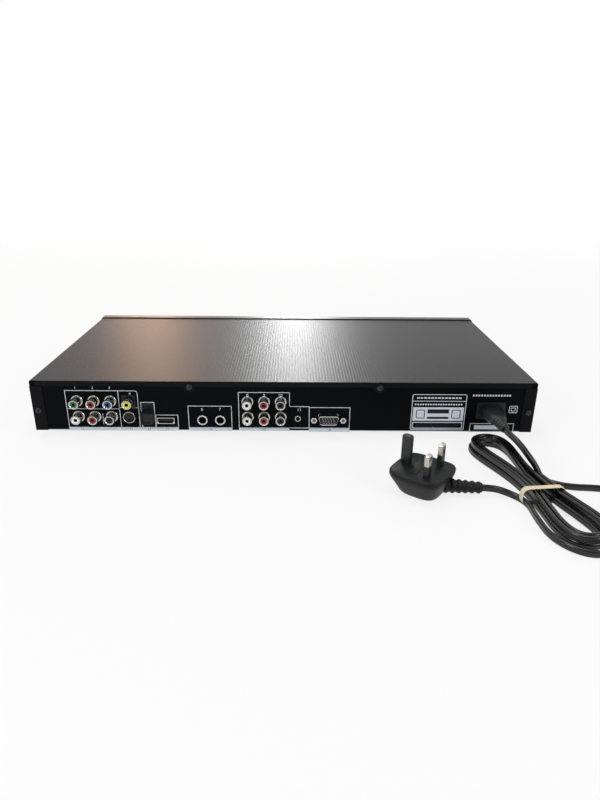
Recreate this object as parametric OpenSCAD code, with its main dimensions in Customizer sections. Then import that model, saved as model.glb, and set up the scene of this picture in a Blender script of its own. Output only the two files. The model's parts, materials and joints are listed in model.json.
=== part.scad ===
// Karaoke machine with a disc tray.
// The front panel faces -Y, the sockets face +Y, and the feet stand on z = 0.
// Heights that end in _h above the case are counted from the bottom edge of the case.

/* [Case] */
// Width of the steel cover
case_w = 430; // [426:1:450]
// Height of the case without its feet
case_h = 46; // [46:1:60]
// Depth of the steel cover, front to back
case_d = 209; // [208:1:240]
// Thickness of the sheet steel
sheet = 0.8; // [0.6:0.1:1]
// Gap between the cover and the pieces that it slides over
seam = 0.3; // [0.2:0.1:0.5]
// Height of the feet
foot_h = 7; // [5:0.5:12]
// Diameter of a foot where it meets the case
foot_dia = 24; // [18:1:30]
// Distance of the feet from the sides and the ends of the case
foot_inset = 38; // [30:1:45]
// Width of the cover's folded flange at each side of the back
flange_w = 10.3; // [9:0.1:12]
// Height of the cover's folded lip along the top of the back
lip_h = 4.8; // [4:0.1:6]
// Distance of the two upper screws from the middle of the back
ear_x = 80.5; // [70:0.5:90]

/* [Front panel] */
// Depth of the front panel moulding
front_t = 12; // [12:0.5:16]
// Thickness of its walls
front_wall = 2.5; // [2:0.1:3]
// How far it stands past the cover all round
front_lip = 1; // [0.5:0.5:2]
// Radius of its corners
front_r = 3; // [2:0.5:5]
// Width of the display window
window_w = 76; // [60:1:80]
// Height of the display window
window_h = 20; // [16:1:24]
// Distance of the window's middle from the middle of the panel
window_x = 132; // [125:1:135]
// Diameter of a microphone or echo knob
knob_dia = 16; // [14:0.5:18]
// How far a knob stands out of the panel
knob_out = 12; // [10:0.5:15]
// Distance between the two knobs
knob_pitch = 26; // [22:0.5:27]
// Width of a function button
button_w = 15; // [12:0.5:17]
// Height of a function button
button_h = 7; // [5:0.5:9]
// Distance between neighbouring buttons
button_pitch = 20; // [19:0.5:21]
// Travel of a button
button_travel = 1; // [0.6:0.1:1.2]

/* [Disc loader] */
// Diameter of the disc
disc_dia = 120; // [120:1:120]
// Width of the tray
tray_w = 132; // [130:0.5:134]
// Travel of the tray
tray_travel = 130; // [110:1:132]
// Height of the tray's underside above the bottom edge of the case
tray_h = 29; // [28.8:0.1:29.2]
// Thickness of the tray's floor
tray_floor = 1.6; // [1.4:0.1:1.8]
// Depth of the disc's hollow in the tray
tray_depth = 4; // [3.5:0.1:4.2]
// Distance from the face of the front panel to the middle of a loaded disc
disc_back = 81; // [80:0.5:83]
// Angle that the lifting base drops by to free the disc
lift_deg = 3.5; // [3.3:0.1:3.8]
// Distance from the spindle back to the pivots of the lifting base
lift_arm = 92; // [90:0.5:94]
// Travel of the pickup
pickup_travel = 34; // [30:0.5:35]
// Tooth size of the rack and the gear that drives it
rack_module = 1; // [1:0.1:1]
// Tooth size of the two gears between the belt and the rack
gear_module = 0.8; // [0.8:0.1:0.8]
// Play between meshing teeth
backlash = 0.3; // [0.2:0.05:0.4]

/* [Sockets] */
// Distance between neighbouring phono sockets, across and up
phono_pitch = 14.2; // [13.6:0.1:14.6]
// Diameter of a phono socket's sleeve
phono_dia = 8.3; // [8.3:0.1:8.3]
// How far a phono socket stands out of the panel
phono_out = 9.5; // [8.5:0.1:10.5]
// Height of the lower row of phono sockets above the bottom edge of the case
phono_row_h = 13.4; // [12.8:0.1:13.8]
// Middle column of the six component video sockets
component_x = 162.7; // [162:0.1:163.5]
// Middle column of the six surround sockets
surround_x = 17.7; // [17:0.1:18.5]
// Place of the yellow video socket
composite_x = 132.7; // [132:0.1:133.2]
// Place of the round video socket
round_video_x = 133.8; // [133:0.1:134.5]
// Place of the optical socket
optical_x = 117.4; // [117:0.1:117.8]
// Place of the digital video socket
hdmi_x = 102.6; // [102:0.1:103.2]
// Point half way between the two microphone jacks
mic_x = 63.3; // [62.5:0.1:64]
// Distance between the two microphone jacks
mic_pitch = 15.3; // [15:0.1:16]
// Radius of a microphone jack's bore
mic_r = 3.2; // [3.2:0.05:3.25]
// Place of the line-in jack
line_x = -11.3; // [-12:0.1:-10.5]
// Radius of the line-in jack's bore
line_r = 1.8; // [1.8:0.05:1.85]
// Place of the 15-pin video socket
vga_x = -37.6; // [-38.5:0.1:-37]
// Distance between the hex posts of the 15-pin socket
post_pitch = 25; // [25:0.1:25]
// Place of the mains inlet
inlet_x = -177.3; // [-178:0.1:-176]
// Height of the mains inlet above the bottom edge of the case
inlet_h = 20.7; // [20:0.1:22]
// Height of the top of the circuit boards above the bottom edge of the case
board_h = 6.9; // [6.7:0.1:7.1]
// Thickness of a circuit board
board_t = 1.6; // [1.2:0.1:1.8]

/* [Mains lead] */
// Width of the flat twin lead
lead_w = 5.4; // [5.4:0.1:5.4]
// Thickness of the flat twin lead
lead_t = 3.2; // [3.2:0.1:3.2]
// Loops in the hank
hank_loops = 4; // [4:1:4]
// Half the length of the hank
hank_half = 78; // [74:1:80]
// Half the width of the hank's outer loop at its waist
hank_waist = 10; // [10:0.2:12]
// Swell of the hank's ends
hank_swell = 38; // [36:1:40]
// Step from one loop to the next inside it
hank_step = 3.9; // [3.7:0.1:4.2]
// Step from the lower layer to the upper one
hank_layer = 5.9; // [5.9:0.1:6.2]
// Length and width of the plug's face
plug_face = 41; // [40:0.5:44]
// Height of the plug's face above the floor
plug_h = 19.5; // [18:0.5:22]

/* [Hidden] */
$fn = 48;

// Planes and places that the pieces share
base_z = foot_h;
top_z = base_z + case_h;
floor_z = base_z + sheet;
rear_y = (case_d + front_t + knob_out - phono_out) / 2;
front_y = rear_y - case_d;
face_y = front_y - front_t;
panel_in = rear_y - sheet;
half_w = case_w / 2;
inner_x = half_w - sheet - seam;
flat_gap = 0.3;
pin_gap = 0.05;
screw_r = 1.5;
screw_head_r = 2.5;
screw_head_h = 1.6;
boss_r = 3.6;

// A block between two opposite corners
module block(low, high) translate(low) cube(high - low);
// Cylinders along each axis
module rod_x(p, r, len) translate(p) rotate([0, 90, 0]) cylinder(r = r, h = len);
module rod_y(p, r, len) translate(p) rotate([-90, 0, 0]) cylinder(r = r, h = len);
module rod_z(p, r, len) translate(p) cylinder(r = r, h = len);
// Extrudes a drawing made in x and z by len along +Y, from y
module plate_y(y, len) translate([0, y + len, 0]) rotate([90, 0, 0]) linear_extrude(len) children();
// A rectangle with true round corners
module rounded(w, h, r) {
    square([w - 2 * r, h], center = true);
    square([w, h - 2 * r], center = true);
    for (sx = [-1, 1], sy = [-1, 1])
        translate([sx * (w / 2 - r), sy * (h / 2 - r)]) circle(r);
}
// A hole for a screw through a plate that is crossed along Z
module screw_hole_z(x, y, z) rod_z([x, y, z - 5], screw_r + 0.1, 10);

// Heights above the bottom edge of the case become places above the ground
function up(h) = base_z + h;

// Chassis base

board_top = up(board_h);
board_z = board_top - board_t;
side_flange_h = 16;
loader_w = tray_w + 14;
loader_front = front_y + 2.2;
loader_back = face_y + disc_back + lift_arm + 8;
loader_foot_y = [loader_front + 8, loader_back - 22];
loader_foot_x = loader_w / 2 - 5.2;
loader_z = floor_z + 3;
main_x = [92, inner_x - 10.9];
audio_x = [-62, 87];
power_x = [-inner_x + 9.9, -92];
board_back = panel_in - 1;
strip_front = loader_back + 4;
side_front = front_y + 22;
main_points = [for (x = [main_x[0] + 6, main_x[1] - 6], y = [side_front + 8, board_back - 30]) [x, y]];
audio_points = [for (x = [audio_x[0] + 5, audio_x[1] - 5]) [x, strip_front + 6]];
power_points = [for (x = [power_x[0] + 6, power_x[1] - 6], y = [side_front + 8, board_back - 12]) [x, y]];
board_points = concat(main_points, audio_points, power_points);
loader_points = [for (x = [-1, 1], y = loader_foot_y) [x * loader_foot_x, y]];
foot_points = [for (x = [-1, 1], y = [front_y + foot_inset, rear_y - foot_inset])
    [x * (half_w - foot_inset), y]];
vent_w = 2.4;
vent_len = 34;

module chassis_base() color("silver") difference() {
    union() {
        block([-inner_x, front_y, base_z], [inner_x, panel_in - flat_gap, floor_z]);
        for (s = [-1, 1])
            block([s > 0 ? inner_x - sheet : -inner_x, front_y, base_z],
                  [s > 0 ? inner_x : -inner_x + sheet, panel_in - flat_gap, base_z + side_flange_h]);
        block([-inner_x, front_y, base_z], [inner_x, front_y + sheet, base_z + 6]);
        for (p = board_points) rod_z([p[0], p[1], floor_z], boss_r, board_z - floor_z);
        for (p = loader_points) rod_z([p[0], p[1], floor_z], boss_r, loader_z - floor_z);
    }
    for (p = concat(board_points, loader_points)) rod_z([p[0], p[1], base_z - 1], screw_r - 0.2, 12);
    for (p = foot_points) rod_z([p[0], p[1], base_z - 1], 3.2, 4);
    for (s = [-1, 1], y = cover_side_screw_y) rod_x([s * inner_x - 3, y, cover_side_screw_z], screw_r - 0.1, 6);
    // Air slots under the power board and under the main board
    for (x = [power_x[0] + 30, main_x[0] + 30], k = [0:7])
        block([x + k * 6, side_front + 30, base_z - 1], [x + k * 6 + vent_w, side_front + 30 + vent_len, floor_z + 1]);
}

// Rear panel

phono_low = up(phono_row_h);
phono_high = phono_low + phono_pitch;
component_spots = [for (i = [-1:1], z = [phono_low, phono_high]) [component_x + i * phono_pitch, z]];
surround_spots = [for (i = [-1:1], z = [phono_low, phono_high]) [surround_x + i * phono_pitch, z]];
composite_spot = [composite_x, phono_high];
phono_spots = concat(component_spots, surround_spots, [composite_spot]);
mic_z = up(10.7);
mic_spots = [for (s = [-1, 1]) [mic_x + s * mic_pitch / 2, mic_z]];
mic_nut_r = 4.7;
line_z = up(12);
vga_z = up(12.3);
hdmi_z = up(9.7);
round_z = up(12.6);
optical_z = up(14.1);
optical_w = 9.8;
inlet_z = up(inlet_h);
inlet_w = 25;
inlet_t = 15.5;
ear_z = top_z - lip_h;
side_screw_z = up(19.1);
phono_hole_r = phono_dia / 2 + 0.75;

module rear_panel() color([0.09, 0.09, 0.11]) difference() {
    union() {
        block([-inner_x, panel_in, floor_z + flat_gap], [inner_x, rear_y, top_z - sheet - seam]);
        block([-inner_x + 2, rear_y - 10, floor_z], [inner_x - 2, panel_in + 0.1, floor_z + sheet]);
        for (x = [-1, 1])
            block([x > 0 ? inner_x - sheet - flat_gap - sheet : -inner_x + sheet + flat_gap, rear_y - 8, floor_z],
                  [x > 0 ? inner_x - sheet - flat_gap : -inner_x + sheet + flat_gap + sheet, panel_in + 0.1, top_z - 3]);
    }
    for (p = phono_spots) rod_y([p[0], panel_in - 1, p[1]], phono_hole_r, 4);
    for (p = mic_spots) rod_y([p[0], panel_in - 1, p[1]], mic_r + 1.3, 4);
    rod_y([line_x, panel_in - 1, line_z], line_r + 1.6, 4);
    rod_y([round_video_x, panel_in - 1, round_z], 5.9, 4);
    block([optical_x - optical_w / 2 - 0.3, panel_in - 1, optical_z - optical_w / 2 - 0.3],
          [optical_x + optical_w / 2 + 0.3, rear_y + 1, optical_z + 11.5]);
    block([hdmi_x - 7.9, panel_in - 1, hdmi_z - 3.3], [hdmi_x + 7.9, rear_y + 1, hdmi_z + 3.3]);
    plate_y(panel_in - 1, 4) translate([vga_x, vga_z]) d_shape(17.6, 9);
    for (s = [-1, 1]) rod_y([vga_x + s * post_pitch / 2, panel_in - 1, vga_z], 2, 4);
    block([inlet_x - inlet_w / 2 + 1.8, panel_in - 1, inlet_z - inlet_t / 2 + 1.3],
          [inlet_x + inlet_w / 2 - 1.8, rear_y + 1, inlet_z + inlet_t / 2 - 1.3]);
    for (s = [-1, 1]) {
        rod_y([s * ear_x, panel_in - 1, ear_z], screw_r - 0.1, 4);
        rod_y([s * (half_w - 5), panel_in - 1, side_screw_z], screw_r - 0.1, 4);
    }
}

// The outline of a 15-pin socket's shell: narrower below than above
module d_shape(w, h) {
    r = 2;
    top = w / 2 - r;
    low = w / 2 - r - 1.2;
    polygon([[-top - r, h / 2 - r], [-top, h / 2], [top, h / 2], [top + r, h / 2 - r],
             [low + r, -h / 2 + r], [low, -h / 2], [-low, -h / 2], [-low - r, -h / 2 + r]]);
    for (s = [-1, 1]) {
        translate([s * top, h / 2 - r]) circle(r);
        translate([s * low, -h / 2 + r]) circle(r);
    }
}

// Top cover

cover_r = 1.6;
ear_r = 5;
relief = 5.2;
side_vent_y = [side_front + 20, rear_y - 60];
cover_side_screw_y = [front_y + 25, rear_y - 45];
cover_side_screw_z = up(10);

// The bent sheet seen from the front: round at the two upper bends
module cover_outline() translate([0, up(case_h / 2)]) {
    rounded(case_w, case_h, cover_r);
    translate([-half_w, -case_h / 2]) square([case_w, case_h / 2]);
}

module top_cover() color([0.13, 0.13, 0.14]) difference() {
    bend = cover_r - sheet / 2;
    union() {
        difference() {
            plate_y(front_y + flat_gap, case_d - flat_gap) cover_outline();
            plate_y(front_y - 1, case_d + 2) union() {
                translate([-half_w + sheet, base_z - 1]) square([case_w - 2 * sheet, case_h + 1 - sheet - bend]);
                translate([-half_w + sheet + bend, base_z - 1]) square([case_w - 2 * (sheet + bend), case_h + 1 - sheet]);
                for (s = [-1, 1]) translate([s * (half_w - sheet - bend), top_z - sheet - bend]) circle(bend);
            }
        }
        // Folded lip, ears and side flanges on the back
        plate_y(rear_y, sheet) union() {
            translate([-half_w + relief, top_z - lip_h]) square([case_w - 2 * relief, lip_h - 0.6]);
            for (s = [-1, 1]) {
                translate([s * ear_x - ear_r, ear_z]) square([2 * ear_r, lip_h]);
                translate([s * ear_x, ear_z]) circle(ear_r);
                translate([s > 0 ? half_w - flange_w : -half_w + 0.6, base_z + 0.5])
                    square([flange_w - 0.6, case_h - relief - 0.5]);
            }
        }
        // The bend that joins the lip and the flanges to the sheet
        block([-half_w + relief, rear_y - 0.5, top_z - sheet], [half_w - relief, rear_y + sheet, top_z]);
        for (s = [-1, 1])
            block([s > 0 ? half_w - sheet : -half_w, rear_y - 0.5, base_z + 0.5],
                  [s > 0 ? half_w : -half_w + sheet, rear_y + sheet, top_z - relief]);
    }
    for (s = [-1, 1]) {
        rod_y([s * ear_x, rear_y - 1, ear_z], screw_r + 0.2, 4);
        rod_y([s * (half_w - 5), rear_y - 1, side_screw_z], screw_r + 0.2, 4);
        for (y = cover_side_screw_y)
            rod_x([s * half_w - 3, y, cover_side_screw_z], screw_r + 0.2, 6);
    }
    // Air slots in both sides
    for (s = [-1, 1], k = [0:11])
        block([s * half_w - 3, side_vent_y[0] + k * 5, up(20)], [s * half_w + 3, side_vent_y[0] + k * 5 + 2, up(34)]);
}

module pan_head(r, h) rotate_extrude() union() {
    square([r, h * 0.45]);
    intersection() {
        translate([0, h - 2.2 * r]) circle(2.2 * r);
        square([r, h]);
    }
}

module cover_screw() difference() {
    union() {
        pan_head(screw_head_r, screw_head_h);
        translate([0, 0, -5]) cylinder(r = screw_r - 0.2, h = 5.2);
    }
    for (a = [0, 90]) rotate([0, 0, a]) translate([-1.6, -0.3, screw_head_h - 0.8]) cube([3.2, 0.6, 2]);
}

module cover_screws() color([0.25, 0.25, 0.26]) {
    for (s = [-1, 1]) {
        translate([s * ear_x, rear_y + sheet, ear_z]) rotate([-90, 0, 0]) cover_screw();
        translate([s * (half_w - 5), rear_y + sheet, side_screw_z]) rotate([-90, 0, 0]) cover_screw();
        for (y = cover_side_screw_y)
            translate([s * half_w, y, cover_side_screw_z]) rotate([0, s * 90, 0]) cover_screw();
    }
}

// Front panel

panel_w = case_w + 2 * front_lip;
panel_h = case_h + 2 * front_lip;
panel_mid_z = base_z + case_h / 2;
slot_w = loader_w + 1.2;
slot_low = up(22.2);
slot_high = up(38.4);
slot_mid_z = (slot_low + slot_high) / 2;
door_gap = 0.5;
window_z = up(24);
// The display moves inwards in a narrow case, and the knobs and the power button keep their place from the sides
power_button_x = 17.9 - inner_x;
window_at = min(window_x, inner_x - 71);
power_r = 6;
buttons_x = 93;
buttons_z = up(31);
knobs_x = inner_x - 45.9;
knobs_z = up(19);
knob_shaft_r = 3;
hole_gap = 0.4;
front_board_y = front_y - 2.4;
post_len = front_board_y - face_y - front_wall;

function button_x(i) = buttons_x + i * button_pitch;
function knob_x(i) = knobs_x + i * knob_pitch;

module front_face() {
    // The moulding seen from the front
    translate([0, panel_mid_z]) rounded(panel_w, panel_h, front_r);
}

module front_panel() color([0.12, 0.12, 0.13]) difference() {
    // Outer skin, with its long edges rounded towards the face
    intersection() {
        plate_y(face_y, front_t) front_face();
        rotate([0, 90, 0]) rotate([0, 0, 90]) translate([face_y, base_z - front_lip, -panel_w])
            linear_extrude(2 * panel_w) edge_profile();
    }
    // Hollow behind the face, with posts that end at the boards
    plate_y(face_y + front_wall, post_len) front_hollow(true);
    plate_y(front_board_y - 0.01, front_t) front_hollow(false);
    // Mouth of the disc tray
    plate_y(face_y - 1, front_t + 2) translate([0, slot_mid_z]) square([slot_w, slot_high - slot_low], center = true);
    // Display window: a ledge behind a smaller opening
    plate_y(face_y - 1, front_wall + 2) translate([-window_at, window_z]) square([window_w - 4, window_h - 4], center = true);
    plate_y(face_y - 1, 2.2) translate([-window_at, window_z]) square([window_w, window_h], center = true);
    // Button and knob holes
    rod_y([power_button_x, face_y - 1, window_z], power_r + hole_gap, front_wall + 2);
    for (i = [0:2])
        plate_y(face_y - 1, front_wall + 2) translate([button_x(i), buttons_z])
            rounded(button_w + 2 * hole_gap, button_h + 2 * hole_gap, 2);
    for (i = [0, 1]) rod_y([knob_x(i), face_y - 1, knobs_z], knob_shaft_r + hole_gap, front_wall + 2);
    for (p = board_posts) rod_y([p[0], face_y + front_wall + 1, p[1]], screw_r - 0.3, front_t);
}

module front_hollow(posts) difference() {
    translate([0, panel_mid_z]) square([panel_w - 2 * front_wall, panel_h - 2 * front_wall], center = true);
    translate([0, slot_mid_z]) square([slot_w + 2 * front_wall, slot_high - slot_low + 2 * front_wall], center = true);
    if (posts) for (p = board_posts) translate(p) circle(boss_r - 0.6);
}

// Side view of the moulding, drawn from its lower front corner: the face leans back at its edges
module edge_profile() {
    r = front_r;
    translate([r, 0]) square([front_t - r, panel_h]);
    translate([0, r]) square([r + 0.01, panel_h - 2 * r]);
    for (z = [r, panel_h - r]) translate([r, z]) circle(r);
}

board_posts = concat(
    [for (x = [-window_at - window_w / 2 - 5, -window_at + window_w / 2 + 5]) [x, window_z - 14]],
    [[buttons_x - 2, knobs_z - 8], [knob_x(1) + 6, up(36)]]);

module display_window() color([0.04, 0.04, 0.05])
    plate_y(face_y + 0.1, 1) translate([-window_at, window_z]) rounded(window_w - 0.4, window_h - 0.4, 0.6);

// A button: cap, collar behind the face and stem to its switch
module button_body(shape_r) {
    cap_out = 1.4;
    translate([0, -cap_out, 0]) rotate([-90, 0, 0]) linear_extrude(cap_out + front_wall + 0.5) children(0);
    translate([0, front_wall + flat_gap, 0]) rotate([-90, 0, 0]) linear_extrude(1.2) children(1);
    translate([0, front_wall + 1, 0]) rotate([-90, 0, 0])
        cylinder(r = shape_r, h = switch_front - front_wall - 1 - button_travel - flat_gap);
}

switch_len = 3.4;
switch_front = front_board_y - face_y - switch_len;

module function_button(i) color([0.55, 0.56, 0.58]) translate([button_x(i), face_y, buttons_z])
    button_body(1.7) {
        rounded(button_w, button_h, 1.7);
        rounded(button_w + 2, button_h + 2, 2);
    }

module power_button() color([0.55, 0.56, 0.58]) translate([power_button_x, face_y, window_z])
    button_body(1.7) {
        circle(power_r);
        circle(power_r + 1.2);
    }
module open_button() function_button(0);
module play_button() function_button(1);
module stop_button() function_button(2);

// A fluted knob with its pointer mark and its shaft
module knob(i) color([0.2, 0.2, 0.21]) translate([knob_x(i), face_y, knobs_z]) rotate([90, 0, 0]) {
    flutes = 24;
    r = knob_dia / 2;
    difference() {
        union() {
            translate([0, 0, flat_gap]) cylinder(r = r, h = 2.5);
            translate([0, 0, 2]) linear_extrude(knob_out - 3) polygon([for (k = [0:4 * flutes - 1])
                let (a = k * 90 / flutes, d = (k % 4 < 2) ? r - 0.4 : r - 1) d * [cos(a), sin(a)]]);
            translate([0, 0, knob_out - 1.5]) cylinder(r1 = r - 0.7, r2 = r - 2, h = 1.5);
        }
        translate([-0.5, 2, knob_out - 0.6]) cube([1, r, 2]);
    }
    translate([0, 0, -pot_front]) cylinder(r = knob_shaft_r, h = pot_front + 1);
}
pot_len = 5;
pot_front = front_board_y - face_y - 1.5;
module mic_knob() knob(0);
module echo_knob() knob(1);

// Boards behind the front panel, with switches, level controls and the display
module front_board() color([0.05, 0.3, 0.12]) {
    left = [-window_at - window_w / 2 - 9, -window_at + window_w / 2 + 9];
    right = [buttons_x - 8, knob_x(1) + 12];
    for (span = [left, right]) difference() {
        block([span[0], front_board_y, up(3)], [span[1], front_board_y + board_t, up(case_h - 4)]);
        for (p = board_posts) rod_y([p[0], front_board_y - 1, p[1]], screw_r, 4);
        for (i = [0, 1]) rod_y([knob_x(i), front_board_y - 1, knobs_z], knob_shaft_r + hole_gap, 4);
    }
    block([power_button_x - 8, front_board_y, window_z - 8], [left[0] - 0.5, front_board_y + board_t, window_z + 8]);
    // Display module
    block([-window_at - window_w / 2 + 3, face_y + front_wall + 1, window_z - 7],
          [-window_at + window_w / 2 - 3, front_board_y, window_z + 7]);
    // Push switches
    for (p = concat([[power_button_x, window_z]], [for (i = [0:2]) [button_x(i), buttons_z]]))
        block([p[0] - 3, front_board_y - switch_len, p[1] - 3], [p[0] + 3, front_board_y, p[1] + 3]);
    // Level controls: a can with the bush that the shaft turns in
    for (i = [0, 1]) difference() {
        union() {
            block([knob_x(i) - 5, front_board_y - pot_len, knobs_z - 5.5], [knob_x(i) + 5, front_board_y, knobs_z + 5.5]);
            rod_y([knob_x(i), front_board_y - pot_len - 1.2, knobs_z], knob_shaft_r + 1.5, 2);
        }
        rod_y([knob_x(i), front_board_y - pot_len - 2, knobs_z], knob_shaft_r + pin_gap, pot_len + 1.2);
    }
}

module feet() color([0.06, 0.06, 0.06]) for (p = foot_points) translate([p[0], p[1], 0]) difference() {
    union() {
        cylinder(r1 = foot_dia / 2 - 1.5, r2 = foot_dia / 2, h = foot_h);
        cylinder(r = 3, h = foot_h + sheet + 1.5);
    }
    translate([0, 0, -1]) cylinder(r = 4, h = 2.5);
}

module pan_screw(len) {
    pan_head(screw_head_r, screw_head_h);
    translate([0, 0, -len]) cylinder(r = screw_r - 0.35, h = len + 0.2);
}

module board_screws() color("silver") {
    for (p = board_points) translate([p[0], p[1], board_top]) pan_screw(board_t + 4);
    for (p = loader_points) translate([p[0], p[1], loader_z + 2.5]) pan_screw(5);
    for (p = board_posts) translate([p[0], front_board_y + board_t, p[1]]) rotate([-90, 0, 0]) pan_screw(4);
}

// Disc loader

disc_y = face_y + disc_back;
disc_r = disc_dia / 2;
tray_z = up(tray_h);
tray_seat_z = tray_z + tray_floor;
tray_top_z = tray_seat_z + tray_depth;
tray_front_y = front_y + 0.2;
tray_back_y = face_y + disc_back + lift_arm - 4;
tray_gap = 0.4;
rail_x = tray_w / 2 + tray_gap;
rack_pitch_x = -tray_w / 2 + 14;
rack_low = tray_z - 4.5;
deck_z = up(12.5);
deck_t = 2.5;
gear_y = face_y + 35;
rack_teeth_n = 20;
wheel_teeth = 44;
pinion_teeth = 12;
rack_r = rack_module * rack_teeth_n / 2;
wheel_r = gear_module * wheel_teeth / 2;
pinion_r = gear_module * pinion_teeth / 2;
drive_x = rack_pitch_x + rack_r;
pulley_x = drive_x + wheel_r + pinion_r;
pulley_r = 13;
motor_pulley_r = 3;
motor_x = pulley_x + 34;
motor_r = 10;
axle_r = 1.5;
pulley_z = deck_z + deck_t + 0.4;
pulley_t = 4.6;
wheel_z = pulley_z + pulley_t + 0.4;
wheel_t = 3.4;
pressure = 20;

// Where the lifting base turns
pivot_y = disc_y + lift_arm;
pivot_z = up(22);
pivot_r = 2.5;

// Everything on the lifting base is drawn level, as it stands while a disc plays, and then lowered
module lowered() translate([0, pivot_y, pivot_z]) rotate([lift_deg, 0, 0]) translate([0, -pivot_y, -pivot_z])
    children();

base_top = up(22);
base_bottom = up(19.5);
seat_z = tray_seat_z + 2;
spindle_r = 1;
hub_r = 15.5;
motor_top = seat_z - 2.6;
rod_px = 23;
rod_pz = up(25);
rod_r = 1.5;
rod_y0 = disc_y + 9;
rod_y1 = disc_y + 83;
screw_px = 31;
screw_pr = 1.5;
pickup_start = disc_y + 24;

module loader_frame() color([0.16, 0.16, 0.17]) {
    wall = 2.2;
    wx = loader_w / 2;
    ledge_z = tray_z - flat_gap;
    difference() {
        union() {
            for (s = [-1, 1]) {
                // Side wall, ledge under the tray's edge, guide above it
                block([s > 0 ? wx - wall : -wx, loader_front, loader_z], [s > 0 ? wx : -wx + wall, loader_back, tray_top_z + 2.6]);
                block([s > 0 ? rail_x - 4.4 : -wx, loader_front, ledge_z - 2], [s > 0 ? wx : -rail_x + 4.4, loader_back - 12, ledge_z]);
                for (y = [loader_front + 4, disc_y - 12, loader_back - 30])
                    block([s > 0 ? rail_x - 2.2 : -wx, y, tray_top_z + flat_gap], [s > 0 ? wx : -rail_x + 2.2, y + 14, tray_top_z + 2]);
                // Feet
                for (y = loader_foot_y)
                    block([s > 0 ? wx - 9 : -wx, y - 6, loader_z], [s > 0 ? wx : -wx + 9, y + 6, loader_z + 2.5]);
            }
            // Front deck for the gears, rear beam for the pivots
            block([-wx, loader_front, deck_z], [wx, disc_y - 25, deck_z + deck_t]);
            block([-wx, pivot_y + 4.6, loader_z], [wx, loader_back, pivot_z + 4]);
            for (x = [-30, 30]) block([x - 4, pivot_y - 4, deck_z - 2], [x + 4, pivot_y + 5, pivot_z + 4]);
            // Axles of the two gears
            for (x = [drive_x, pulley_x])
                rod_z([x, gear_y, deck_z], axle_r, x == drive_x ? wheel_z + wheel_t + 3.4 - deck_z : wheel_z + wheel_t + 0.6 - deck_z);
            for (x = [drive_x, pulley_x]) rod_z([x, gear_y, deck_z], axle_r + 1.5, deck_t + 0.25);
            rod_z([drive_x, gear_y, deck_z], axle_r + 1.5, wheel_z - flat_gap - deck_z);
        }
        for (p = loader_points) rod_z([p[0], p[1], loader_z - 1], screw_r, 5);
        rod_z([motor_x, gear_y, deck_z - 1], 3.4, deck_t + 2);
        for (x = [-30, 30]) rod_x([x - 5, pivot_y, pivot_z], pivot_r + pin_gap, 10);
        // Room for the tilting base between the two pivot lugs
        block([-24, pivot_y + 2, base_bottom - 4], [24, loader_back + 1, pivot_z + 5]);
    }
}

module disc_tray() color([0.14, 0.14, 0.15]) difference() {
    hw = tray_w / 2;
    union() {
        block([-hw, tray_front_y, tray_z], [hw, tray_back_y, tray_top_z]);
        translate([0, 0, rack_low]) linear_extrude(tray_z - rack_low + 0.5)
            rack(rack_pitch_x, tray_front_y + 2, tray_back_y - 6);
    }
    // Hollow for the large disc, hollow for the small disc
    rod_z([0, disc_y, tray_seat_z], disc_r + 0.7, 20);
    rod_z([0, disc_y, tray_seat_z - 0.7], disc_r * 2 / 3 + 0.5, 20);
    // Opening for the turntable and the pickup
    rod_z([0, disc_y, tray_z - 1], hub_r + 4, 20);
    block([-18, disc_y, tray_z - 1], [18, disc_y + 66, tray_top_z + 1]);
    block([-40, disc_y + 60, tray_seat_z], [40, tray_back_y + 1, tray_top_z + 1]);
    // Finger notches at the disc's edge
    for (s = [-1, 1]) rod_z([s * (disc_r + 2), disc_y - 34, tray_seat_z], 14, 20);
}

// A rack with its pitch line at x, and teeth that point to +X, between two values of y
module rack(x, y0, y1) {
    p = PI * rack_module;
    add = rack_module;
    ded = 1.25 * rack_module;
    top = p / 4 - backlash / 4 - add * tan(pressure);
    low = p / 4 - backlash / 4 + ded * tan(pressure);
    translate([x - ded - 2.4, y0]) square([2.4, y1 - y0]);
    first = ceil((y0 - gear_y) / p) + 1;
    last = floor((y1 - gear_y) / p) - 1;
    for (k = [first:last]) translate([x, gear_y + k * p])
        polygon([[-ded - 0.1, -low], [-ded, -low], [add * 0.96, -top], [add * 0.96, top], [-ded, low], [-ded - 0.1, low]]);
}

// Involute teeth: inv is the involute function, and each flank has five points
function inv(a) = tan(a) * 180 / PI - a;
function flank(r, rb, half, s) = let (a = acos(min(1, rb / r))) s * (half + inv(pressure) - inv(a));
module gear(m, n, t, turn) {
    r = m * n / 2;
    rb = r * cos(pressure);
    ra = r + 0.94 * m;
    rd = r - 1.22 * m;
    half = 90 / n - backlash / 4 / r * 180 / PI;
    steps = 4;
    start = max(rb, rd);
    rotate([0, 0, turn]) linear_extrude(t) polygon([for (k = [0:n - 1]) let (c = k * 360 / n) each concat(
        [rd * [cos(c - 180 / n * 0.62), sin(c - 180 / n * 0.62)]],
        [for (i = [0:steps]) let (q = start + (ra - start) * i / steps, f = flank(q, rb, half, 1)) q * [cos(c - f), sin(c - f)]],
        [for (i = [steps:-1:0]) let (q = start + (ra - start) * i / steps, f = flank(q, rb, half, 1)) q * [cos(c + f), sin(c + f)]],
        [rd * [cos(c + 180 / n * 0.62), sin(c + 180 / n * 0.62)]])]);
}

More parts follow.
